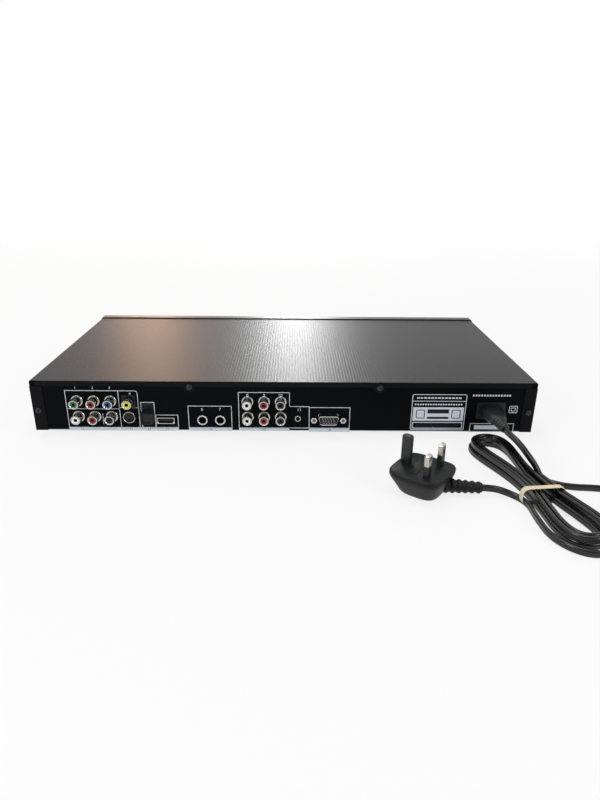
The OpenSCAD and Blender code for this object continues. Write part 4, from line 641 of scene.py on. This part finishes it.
# The power pins stand 22.2 apart. Above the face: the earth pin, the black roots, and the nickel tips
POWER_PINS, EARTH_X = ((0.0, 11.1), (0.0, -11.1)), -22.2
EARTH_HIGH, ROOT_HIGH, TIP_HIGH = 22.7, 9.3, 17.7
earth = piece("plug_earth_pin", [pin(EARTH_X, 0, 8.0, 4.0, PLUG_H - 1, PLUG_H + EARTH_HIGH)]
              + [pin(x, y, 4.0, 6.35, PLUG_H - 1, PLUG_H + ROOT_HIGH, 0.2) for x, y in POWER_PINS],
              moulded("pin_sleeve_nylon", "#0f1113", "#141618", 0.36))
tips = piece("plug_power_pins", [pin(x, y, 3.8, 6.1, PLUG_H + 8, PLUG_H + TIP_HIGH) for x, y in POWER_PINS],
             plated_metal("nickel_brass", "#c6c3b8", "#b5b1a4", 0.24, 3.0))
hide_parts("plug_pins")

# %% [markdown]
# ## The connector and the rubber band
#
# The connector is a small flattened form that narrows behind the grip, and its strain relief has ribs. The
# rubber band is a strip that runs round the waist of the hank. It is stretched a little askew.

# %% Connector
def connector():
    """Rings along +Y: the nose in the inlet, a step to the grip, a waist to hold it by, and the neck."""
    a = np.linspace(0, 2 * np.pi, 64, endpoint=False)
    # Distance from the rear plane, half width, half height, power, of each ring
    rings = [(-12.0, 0.1, 0.1, 2.0), (-12.0, 9.2, 4.3, 2.6), (1.4, 9.2, 4.3, 2.6), (1.4, 9.5, 4.9, 3.2),
             (2.0, 9.7, 5.2, 3.2), (8.0, 9.7, 5.2, 3.2), (12.0, 9.0, 5.0, 3.0), (16.0, 8.3, 4.8, 2.8),
             (20.0, 7.4, 4.6, 2.6), (23.0, 6.0, 4.3, 2.4), (24.0, 5.0, 4.0, 2.2), (24.0, 0.1, 0.1, 2.0)]
    grid = np.stack([np.insert(rounded_form(a, x, z, p), 1, out, axis=1) for out, x, z, p in rings])
    return skin(grid + INLET)


connector_ribs = ribs(4.5, 3.2, start=GRIP - 1, length=CONNECTOR_RELIEF + 1, count=4)
plug_in = piece("lead_connector_body", [connector(), strain_relief(INLET, (0, 1.0, 0), connector_ribs)],
                moulded("connector_pvc", "#0d0e10", "#111214", 0.38, texture=0.6, depth=0.02),
                sharp=50.0)
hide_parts("lead_connector")

# %% Rubber band
# Place along the hank, width of the strip, and how far its two sides are moved along the hank
BAND_AT, BAND_WIDE, BAND_SKEW = 18.0, 4.4, 1.6
# Width, height and corner radius of the loop, its middle, and the lowest place of the rubber
BAND_LOOP, BAND_MID, BAND_LOW = (31.6, 12.4, 4.6), (-2.0, 6.7), 0.12


def band():
    """A strip carried round the hank's waist: a round-cornered loop, its two edges moved along the hank."""
    loop = round_outline(*BAND_LOOP, 12) + BAND_MID
    skew = BAND_SKEW * loop[:, 0] / 16
    half = BAND_WIDE / 2
    section = np.array([(0.0, -half), (0.38, -half + 0.3), (0.4, half - 0.3), (0.0, half),
                        (-0.4, half - 0.3), (-0.38, -half + 0.3)])
    ahead = directions(np.insert(loop, 2, 0, axis=1), closed=True)
    outward = np.stack([ahead[:, 1], -ahead[:, 0]], 1)
    flat = loop[:, None] + section[None, :, :1] * outward[:, None]
    across, up = flat[..., 0], np.maximum(flat[..., 1], BAND_LOW)
    along = section[None, :, 1] + skew[:, None]
    xy = HANK_AT + (BAND_AT + along[..., None]) * HANK_DIR + across[..., None] * HANK_SIDE
    return skin(np.concatenate([xy, up[..., None]], -1), around_rows=True, caps=False)


rubber_band = piece("rubber_band", [band()], finishes["elastic_band"], sharp=60.0)
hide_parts("cord_band")

# %% [markdown]
# ## The print on the rear panel
#
# The white boxes and bars are screen print, a few hundredths of a millimetre thick. Each line is a thin strip
# carried along its path with mitred corners: at a corner the strip's edge moves out along the bisector of its
# two sides. Plain numbers mark the sockets.

# %% Printed strips
# The ink starts just off the panel, and dark marks lie on top of the pale ink
INK_LOW, INK_HIGH, MARK_HIGH = 0.01, 0.06, 0.1
LINE = 0.55


def strip(points, width, place=on_back, closed=False, low=INK_LOW, high=INK_HIGH):
    """A flat strip along points (x, height), mitred at its corners, as a closed skin of four edges."""
    p = np.asarray(points, float)
    nxt = np.roll(p, -1, 0) - p
    if not closed:
        nxt[-1] = nxt[-2]
    nxt /= np.linalg.norm(nxt, axis=1, keepdims=True)
    before = np.roll(nxt, 1, 0)
    if not closed:
        before[0] = nxt[0]
    left, left_before = (np.stack([-v[:, 1], v[:, 0]], 1) for v in (nxt, before))
    mitre = (left + left_before) / (1 + np.einsum("ij,ij->i", left, left_before))[:, None]
    a, b = p + mitre * width / 2, p - mitre * width / 2
    grid = np.stack([place(a, low), place(b, low), place(b, high), place(a, high)], 1)
    return skin(grid, around_rows=closed, caps=not closed)


def bar(x0, x1, z0, z1, place=on_back, low=INK_LOW, high=INK_HIGH):
    """A filled rectangle."""
    return strip([(x0, (z0 + z1) / 2), (x1, (z0 + z1) / 2)], abs(z1 - z0), place, low=low, high=high)


def box_line(x0, x1, z0, z1, radius=0.0, width=LINE, place=on_back, low=INK_LOW, high=INK_HIGH):
    """The outline of a rectangle, with round corners if a radius is given."""
    mid = np.array([(x0 + x1) / 2, (z0 + z1) / 2])
    w, h = abs(x1 - x0), abs(z1 - z0)
    if radius:
        outline = round_outline(w, h, radius)
    else:
        outline = np.array([(w, h), (-w, h), (-w, -h), (w, -h)]) / 2
    return strip(outline + mid, width, place, closed=True, low=low, high=high)


def arc(x, z, radius, start, end, count=7):
    """Points on an arc, angles in degrees."""
    a = np.radians(np.linspace(start, end, count))
    return [(x + radius * math.cos(v), z + radius * math.sin(v)) for v in a]


# Rectangles are given as the two x places, then the two heights
PRINT_FOOT = 3.2
component_box = [(186.2, PRINT_FOOT), (186.2, 37.0)] + arc(127.2, 35.0, 2.0, 90, 180) + [(125.2, PRINT_FOOT)]
lines = [
    strip(component_box, LINE),
    strip([(141.4, 37.0), (141.4, PRINT_FOOT)], LINE),
    strip([(186.2, 20.4), (141.4, 20.4)], LINE),
    strip([(141.4, 21.6), (125.2, 21.6)], LINE),
    strip([(156.4, 16.0), (156.4, 6.0)], LINE),
    box_line(123.0, 111.7, PRINT_FOOT, 26.5),
    box_line(111.1, 92.1, PRINT_FOOT, 14.8),
    bar(186.5, 92.0, 0.0, PRINT_FOOT),
    box_line(82.9, 45.8, PRINT_FOOT, 23.3),
    bar(83.1, 45.5, 0.0, PRINT_FOOT),
    box_line(39.5, -4.0, PRINT_FOOT, 36.1),
    bar(39.8, -4.0, 0.3, PRINT_FOOT),
    box_line(-4.0, -20.9, PRINT_FOOT, 23.3),
    box_line(-21.2, -56.0, PRINT_FOOT, 22.5),
    bar(-21.0, -56.2, -0.3, PRINT_FOOT),
]
piece("socket_print", lines, ink)

# %% [markdown]
# ## A printed table, and the print round the inlet
#
# Beside the sockets is a table in a frame: a rule, a pale block with dark squares and bars, and a frame with
# dashes. Next to the inlet are two nested squares and a bar in a frame.

# %% Printed table and inlet print
LABEL_X0, LABEL_X1 = -109.3, -155.5
label = [
    box_line(LABEL_X0, LABEL_X1, 2.2, 35.0, 1.2, 0.6),
    bar(LABEL_X0, LABEL_X1, 28.6, 29.2),
    bar(LABEL_X0 - 1.2, LABEL_X1 + 1.2, 10.6, 23.3),
    box_line(LABEL_X0 - 1.6, LABEL_X1 + 1.6, 3.6, 9.0, 0, 0.7),
    bar(-160.5, -193.0, 41.2, 41.5),
    box_line(-193.5, -200.3, 18.5, 24.6, 0.5, 0.6),
    box_line(-195.2, -198.6, 20.1, 23.0, 0.3, 0.5),
    box_line(-161.2, -199.2, 0.4, 8.2, 0, 0.6),
    bar(-164.8, -190.5, 2.7, 6.5),
]
# Rows of short dashes, in the table and above the inlet
label += [bar(x, x - 2.2, 31.2, 32.6) for x in np.arange(-113.0, -151.0, -3.0)]
label += [bar(x, x - 1.4, 25.2, 26.6) for x in np.arange(-111.5, -152.5, -2.2)]
label += [bar(x, x - 1.5, 33.6, 35.2) for x in np.arange(-160.5, -192.0, -2.4)]
piece("label_print", label, ink)
on_ink = {"low": INK_HIGH, "high": MARK_HIGH}
squares = [box_line(x, x - 7.0, 13.2, 20.7, 0.8, 0.7, **on_ink) for x in (-113.5, -144.3)]
squares += [bar(-123.0, -141.6, low, high, **on_ink) for low, high in ((17.6, 21.4), (12.4, 14.4))]
squares += [bar(x, x - 1.3, 5.4, 7.2, **on_ink) for x in np.arange(-114.0, -150.0, -2.1)]
piece("label_marks", squares, dark_ink)

# %% [markdown]
# ## Numbers
#
# Blender's own font draws the numbers. A text object is made a mesh first, and its points are then placed on
# the panel by a formula, so the finished piece sits at the origin as every other piece does.

# %% Numbers
# Height of a figure as a share of the font's size, and how far a number stands off its panel
FIGURE_SHARE, NUMBER_OUT = 0.7, 0.07


def number_points(text, height):
    """Points and faces of a text that is `height` high, its middle at the origin, in its own plane."""
    curve = bpy.data.curves.new("number", "FONT")
    curve.body, curve.size, curve.extrude = text, 1.0, 0.0
    curve.align_x, curve.align_y, curve.resolution_u = "CENTER", "CENTER", 3
    holder = bpy.data.objects.new("number", curve)
    scene.collection.objects.link(holder)
    bpy.context.view_layer.update()
    mesh = bpy.data.meshes.new_from_object(holder.evaluated_get(bpy.context.evaluated_depsgraph_get()))
    points = np.zeros(len(mesh.vertices) * 3, np.float32)
    mesh.vertices.foreach_get("co", points)
    faces = [list(f.vertices) for f in mesh.polygons]
    bpy.data.objects.remove(holder)
    bpy.data.curves.remove(curve)
    bpy.data.meshes.remove(mesh)
    points = points.reshape(-1, 3)[:, :2].astype(float)
    points -= (points.max(0) + points.min(0)) / 2
    return points * height / FIGURE_SHARE, faces


def number(text, x, z, height, place=on_back):
    """A number as a thin flat face: on the back, x runs to the picture's left, so it is mirrored."""
    points, faces = number_points(text, height)
    side = -1 if place is on_back else 1
    placed = place(points * (side, 1) + (x, z), NUMBER_OUT)
    a, b, c = (placed[i] for i in faces[0][:3])
    outward = np.cross(b - a, c - a)[1] * (1 if place is on_back else -1)
    return placed, faces if outward > 0 else [f[::-1] for f in faces]


marks = [("1", 177.0, 39.9), ("2", 162.5, 39.9), ("3", 148.2, 39.9), ("4", 131.5, 34.3), ("6", 71.0, 20.4),
         ("7", 55.6, 20.4), ("8", 31.9, 33.6), ("9", 17.7, 33.6), ("10", 3.5, 33.6), ("11", -12.4, 20.4)]
piece("socket_numbers", [number(t, x, z, 2.6) for t, x, z in marks], ink)
bar_marks = [("12", 175.0), ("13", 133.0), ("14", 117.4), ("15", 101.6), ("16", 64.0), ("17", 17.7),
             ("18", -38.6)]
piece("bar_numbers", [number(t, x, 1.6, 2.0) for t, x in bar_marks], dark_ink)

# %% [markdown]
# ## Sockets
#
# A phono socket is a rolled nickel sleeve with a washer at its foot. The sleeve is a profile turned about the
# socket's axis: out over the washer, up the sleeve, round its rolled rim and down its bore.

# %% Phono sleeves
PHONO_PITCH, PHONO_LOW = 14.2, 13.4
PHONO_HIGH = PHONO_LOW + PHONO_PITCH
component = [(162.7 + i * PHONO_PITCH, z) for i in (-1, 0, 1) for z in (PHONO_LOW, PHONO_HIGH)]
surround = [(17.7 + i * PHONO_PITCH, z) for i in (-1, 0, 1) for z in (PHONO_LOW, PHONO_HIGH)]
COMPOSITE = (132.7, PHONO_HIGH)
SLEEVE_R, BORE_R, SLEEVE_OUT = 4.15, 2.95, 9.5
phonos = component + surround + [COMPOSITE]


def sleeve(spot, washer):
    """One sleeve: its profile as radius and distance from the rear plane, turned about the socket's axis."""
    rim = 0.5
    foot = [(5.05, 0.02), (5.05, 0.55), (4.8, 0.8), (SLEEVE_R, 0.8)] if washer else [(SLEEVE_R, 0.02)]
    profile = [(BORE_R, 0.02)] + foot + [(SLEEVE_R, SLEEVE_OUT - rim), (SLEEVE_R - 0.12, SLEEVE_OUT - 0.15),
                                         (SLEEVE_R - 0.45, SLEEVE_OUT), (BORE_R + 0.3, SLEEVE_OUT),
                                         (BORE_R, SLEEVE_OUT - 0.3)]
    place = on_back(np.array(spot), 0.0)
    return skin(turn(profile, place, (0, 1, 0), (1, 0, 0)), around_rows=True, caps=False)


# The single yellow socket sits in a black face, so it has no washer
sleeves = piece("nickel_sleeves", [sleeve(s, s != COMPOSITE) for s in phonos], finishes["nickel_plate"],
                sharp=40.0)
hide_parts("phono_sleeves")

# %% [markdown]
# ## Trim of the other sockets
#
# The microphone jacks and the round video socket each have a nickel ring. The face of the 15-pin socket is
# black with a small contact in each hole, and the digital video socket is black inside. The phono sockets are
# dark in their middle, where the plug's pin goes: a black tube and floor there are painted shade.

# %% Socket trim
MICS, MIC_Z, MIC_R = (55.65, 70.95), 10.7, 3.2
ROUND, LINE_IN = (133.8, 12.6), (-11.3, 12.0)
DIGITAL, FIFTEEN, FIFTEEN_OUT = (102.6, 9.7), (-37.6, 12.3), 5.6
# Hole for the plug's pin, the black tube round it as painted shade in the pin hole, and the tube's two ends
HOLE_R, TUBE_R, TUBE_LOW, TUBE_HIGH = 1.1, 1.59, 6.0, 9.24
CONTACT_PITCH, CONTACT_SHIFT, CONTACT_ROW, CONTACT_R = 2.29, 0.6, 1.98, 0.36


def ring(spot, inner, outer, low, high):
    """A ring with rounded edges: its profile turned about the socket's axis."""
    soft = min(outer - inner, high - low) * 0.3
    profile = [(inner, low), (outer, low), (outer, high - soft), (outer - soft, high), (inner + soft, high),
               (inner, high - soft)]
    return skin(turn(profile, on_back(np.array(spot), 0.0), (0, 1, 0), (1, 0, 0)), around_rows=True, caps=False)


def flat_plate(outline, spot, low, high):
    """A plate with the outline (across, up) at a place on the rear panel, between two distances from it."""
    points = np.asarray(outline, float) + spot
    return skin(np.stack([on_back(points, low), on_back(points, high)]))


def disc_outline(radius, count):
    """Points on a circle."""
    return rounded_form(np.linspace(0, 2 * np.pi, count, endpoint=False), radius, radius, 2)


def d_shape(width, height, slant=0.18, radius=1.6):
    """Outline of the 15-pin socket: a round-cornered rectangle whose sides lean in towards the bottom."""
    outline = round_outline(width, height, radius)
    outline[:, 0] *= 1 + slant * outline[:, 1] / height
    return outline


piece("jack_rings", [ring((x, MIC_Z), MIC_R + 0.05, MIC_R + 1.25, 1.2, 1.75) for x in MICS]
      + [ring(ROUND, 4.55, 5.15, 0.5, 1.05), ring(LINE_IN, 1.85, 2.5, 0.3, 0.72)],
      finishes["nickel_plate"])
# Painted shade in each phono pin hole: a black tube round the hole and a black disc as its floor
hollows_and_painted_shade = [ring(s, HOLE_R, TUBE_R, TUBE_LOW, TUBE_HIGH) for s in phonos]
hollows_and_painted_shade += [flat_plate(disc_outline(1.3, 24), s, TUBE_LOW, TUBE_LOW + 0.4) for s in phonos]
# The face of the 15-pin socket, then the back wall and the tongue of the digital one
hollows_and_painted_shade += [flat_plate(d_shape(15.4, 6.8), FIFTEEN, FIFTEEN_OUT - 0.2, FIFTEEN_OUT + 0.12),
            flat_plate([(-6.9, -0.6), (-5.5, -2.2), (5.5, -2.2), (6.9, -0.6), (6.9, 2.2), (-6.9, 2.2)],
                      DIGITAL, -3.2, -2.9),
            flat_plate([(-5.9, -0.5), (5.9, -0.5), (5.9, 1.1), (-5.9, 1.1)], DIGITAL, -3.0, -0.2)]
piece("socket_hollows", hollows_and_painted_shade, finishes["socket_black"])
contacts = [(FIFTEEN[0] + k * CONTACT_PITCH + row * CONTACT_SHIFT, FIFTEEN[1] + row * CONTACT_ROW)
            for row in (-1, 0, 1) for k in (-2, -1, 0, 1, 2)]
piece("video_contacts", [flat_plate(disc_outline(CONTACT_R, 10), c, FIFTEEN_OUT, FIFTEEN_OUT + 0.17)
                         for c in contacts], finishes["nickel_plate"])

# %% [markdown]
# ## The front panel
#
# The photograph doesn't show the front, so its print is plain: a ring of ticks and small numbers round each
# knob, and the common signs for power, open, play and stop on the buttons. Each sign rides on its own button.

# %% Ticks and numbers round the knobs
KNOBS, KNOB_Z = (168.0, 194.0), 19.0
# Radii: inner end of a tick, outer end of a short and of a long one, and the middle of a number
TICKS, TICK_IN, TICK_SHORT, TICK_LONG, NUMBER_AT = 11, 9.2, 10.4, 11.0, 12.2
tick_angles = np.radians(np.linspace(240, -60, TICKS))
tick_print = []
for x in KNOBS:
    for k, a in enumerate(tick_angles):
        ends = [(x + r * math.cos(a), KNOB_Z + r * math.sin(a))
                for r in (TICK_IN, TICK_SHORT if k % 5 else TICK_LONG)]
        tick_print.append(strip(ends, 0.35, on_front))
    tick_print += [number(t, x + NUMBER_AT * math.cos(a), KNOB_Z + NUMBER_AT * math.sin(a), 1.6, on_front)
                   for t, a in (("0", tick_angles[0]), ("10", tick_angles[-1]))]
piece("knob_print", tick_print, ink)

# %% Signs on the buttons
# A button's face stands BUTTON_OUT out of the front, and a sign lies on it
BUTTON_Z, BUTTON_OUT, SIGN_OUT = 31.0, 1.4, 1.46
POWER_X, POWER_Z = -196.0, 24.0


def sign(points, x, z):
    """A filled sign: its outline as a thin plate that stands on the button."""
    p = np.asarray(points, float) + (x, z)
    return skin(np.stack([on_front(p, BUTTON_OUT), on_front(p, SIGN_OUT)]))


triangle = [(-1.3, -1.5), (1.6, 0.0), (-1.3, 1.5)]
square = [(-1.3, -1.3), (1.3, -1.3), (1.3, 1.3), (-1.3, 1.3)]
wedge = [(-1.6, -0.2), (1.6, -0.2), (0.0, 1.5)]
ledge = [(-1.6, -1.4), (1.6, -1.4), (1.6, -0.8), (-1.6, -0.8)]
for body, x, outlines in (("open_button", 93.0, (wedge, ledge)), ("play_button", 113.0, (triangle,)),
                          ("stop_button", 133.0, (square,))):
    piece(body + "_sign", [sign(o, x, BUTTON_Z) for o in outlines], dark_ink, body)
# The sign for power is a ring that is open at its top, and a short bar in the opening
open_ring = strip(arc(POWER_X, POWER_Z, 2.5, 125, 415, 25), 0.6, on_front, low=BUTTON_OUT, high=SIGN_OUT)
short_bar = bar(POWER_X - 0.3, POWER_X + 0.3, POWER_Z + 0.6, POWER_Z + 3.3, on_front, BUTTON_OUT, SIGN_OUT)
piece("power_button_sign", [open_ring, short_bar], dark_ink, "power_button")

# %% [markdown]
# ## Floor, light and background
#
# The floor is a large pale sheet. Near the machine it takes its shade from the lamps, so that the shadow stays,
# and further out it turns to plain white, as the background is. What the camera, a mirror or glass sees of the
# world is white, and what lights the object is dimmer.

# %% Floor and world
FLOOR_HALF, FLOOR_Z, SHADE_NEAR, SHADE_FAR = 12000.0, -0.2, 350.0, 1500.0
NEAR_WHITE = 0.8
floor_mesh = bpy.data.meshes.new("floor")
floor_mesh.from_pydata([(x * FLOOR_HALF * MM, y * FLOOR_HALF * MM, FLOOR_Z * MM) for x, y in
                        ((-1, -1), (1, -1), (1, 1), (-1, 1))], [], [(0, 1, 2, 3)])
floor = bpy.data.objects.new("floor", floor_mesh)
scene.collection.objects.link(floor)


def seen(tree):
    """1 for rays from the camera, from a mirror or through glass, otherwise 0."""
    path = add(tree, "ShaderNodeLightPath")
    either = add(tree, "ShaderNodeMath", {0: path.outputs["Is Camera Ray"],
                                          1: path.outputs["Is Glossy Ray"]}, operation="MAXIMUM")
    return add(tree, "ShaderNodeMath", {0: either.outputs[0], 1: path.outputs["Is Transmission Ray"]},
               operation="MAXIMUM").outputs[0]


def floor_finish():
    """Pale paper: a matt white that the lamps shade, lifted to plain white for the eye and with distance."""
    material, tree, shader, where = surface("studio_paper", "#e6e6e6", 0.9, specular=0.1)
    distance = add(tree, "ShaderNodeVectorMath", {0: where}, operation="LENGTH").outputs["Value"]
    near = add(tree, "ShaderNodeMapRange", {"Value": distance, "From Min": SHADE_NEAR * MM,
                                            "From Max": SHADE_FAR * MM, "To Min": NEAR_WHITE, "To Max": 1.0})
    share = add(tree, "ShaderNodeMath", {0: near.outputs["Result"], 1: seen(tree)}, operation="MULTIPLY")
    white = add(tree, "ShaderNodeEmission", {"Color": (1, 1, 1, 1), "Strength": 1.0})
    mix = add(tree, "ShaderNodeMixShader", {0: share.outputs[0], 1: shader.outputs[0], 2: white.outputs[0]})
    tree.links.new(mix.outputs[0], tree.nodes["Material Output"].inputs["Surface"])
    return material


floor_mesh.materials.append(floor_finish())
# Share of the world's light that falls on matt surfaces, and the room's brightness behind the camera
AMBIENT, BEHIND = 0.55, 0.3
world = bpy.data.worlds.new("studio")
scene.world = world
world.use_nodes = True
sky = world.node_tree
# Behind the camera, towards +Y, the room is dimmer, so the back of the machine stays black
way = add(sky, "ShaderNodeSeparateXYZ", {0: add(sky, "ShaderNodeTexCoord").outputs["Generated"]}).outputs["Y"]
room = add(sky, "ShaderNodeMapRange", {"Value": way, "From Min": -0.25, "From Max": 0.45,
                                       "To Min": 1.0, "To Max": BEHIND})
path = add(sky, "ShaderNodeLightPath")
glossy = add(sky, "ShaderNodeMapRange", {"Value": path.outputs["Is Glossy Ray"], "To Min": AMBIENT,
                                         "To Max": 1.0})
lit = add(sky, "ShaderNodeMath", {0: room.outputs["Result"], 1: glossy.outputs["Result"]},
          operation="MULTIPLY")
plain = add(sky, "ShaderNodeMath", {0: path.outputs["Is Camera Ray"], 1: path.outputs["Is Transmission Ray"]},
            operation="MAXIMUM")
strength = add(sky, "ShaderNodeMath", {0: lit.outputs[0], 1: plain.outputs[0]}, operation="MAXIMUM")
background = sky.nodes["Background"]
background.inputs["Color"].default_value = (1, 1, 1, 1)
sky.links.new(strength.outputs[0], background.inputs["Strength"])
print("world: ambient", AMBIENT, "behind the camera", BEHIND)

# %% Lamps
def lamp(name, place, target, size, power, colour="#ffffff"):
    """A soft rectangular lamp at place, aimed at target, both in mm. The camera doesn't see the lamp itself."""
    light = bpy.data.lights.new(name, "AREA")
    light.shape, light.size, light.size_y = "RECTANGLE", size[0] * MM, size[1] * MM
    light.energy, light.color = power, linear(colour)[:3]
    obj = bpy.data.objects.new(name, light)
    scene.collection.objects.link(obj)
    place, target = np.array(place, float), np.array(target, float)
    back = towards(target, place)
    right = np.cross((0, 0, 1), back)
    right /= np.linalg.norm(right)
    matrix = np.eye(4)
    matrix[:3, 0], matrix[:3, 1], matrix[:3, 2], matrix[:3, 3] = right, np.cross(back, right), back, place * MM
    obj.matrix_world = Matrix(matrix.tolist())
    obj.visible_camera = False
    print("lamp", name, power, "W")


lamp("overhead", (200, 250, 1500), (0, 0, 0), (1300, 900), 9.0)
lamp("left_fill", (1000, 900, 700), (0, 100, 30), (600, 500), 8.0)
lamp("right_fill", (-1000, 900, 600), (0, 100, 30), (500, 400), 5.0)
lamp("streak", (-10, -1700, 620), (0, -50, 50), (180, 700), 7.5)
lamp("warm_streak", (500, -1520, 560), (80, -50, 50), (200, 520), 2.3, "#ffcca6")
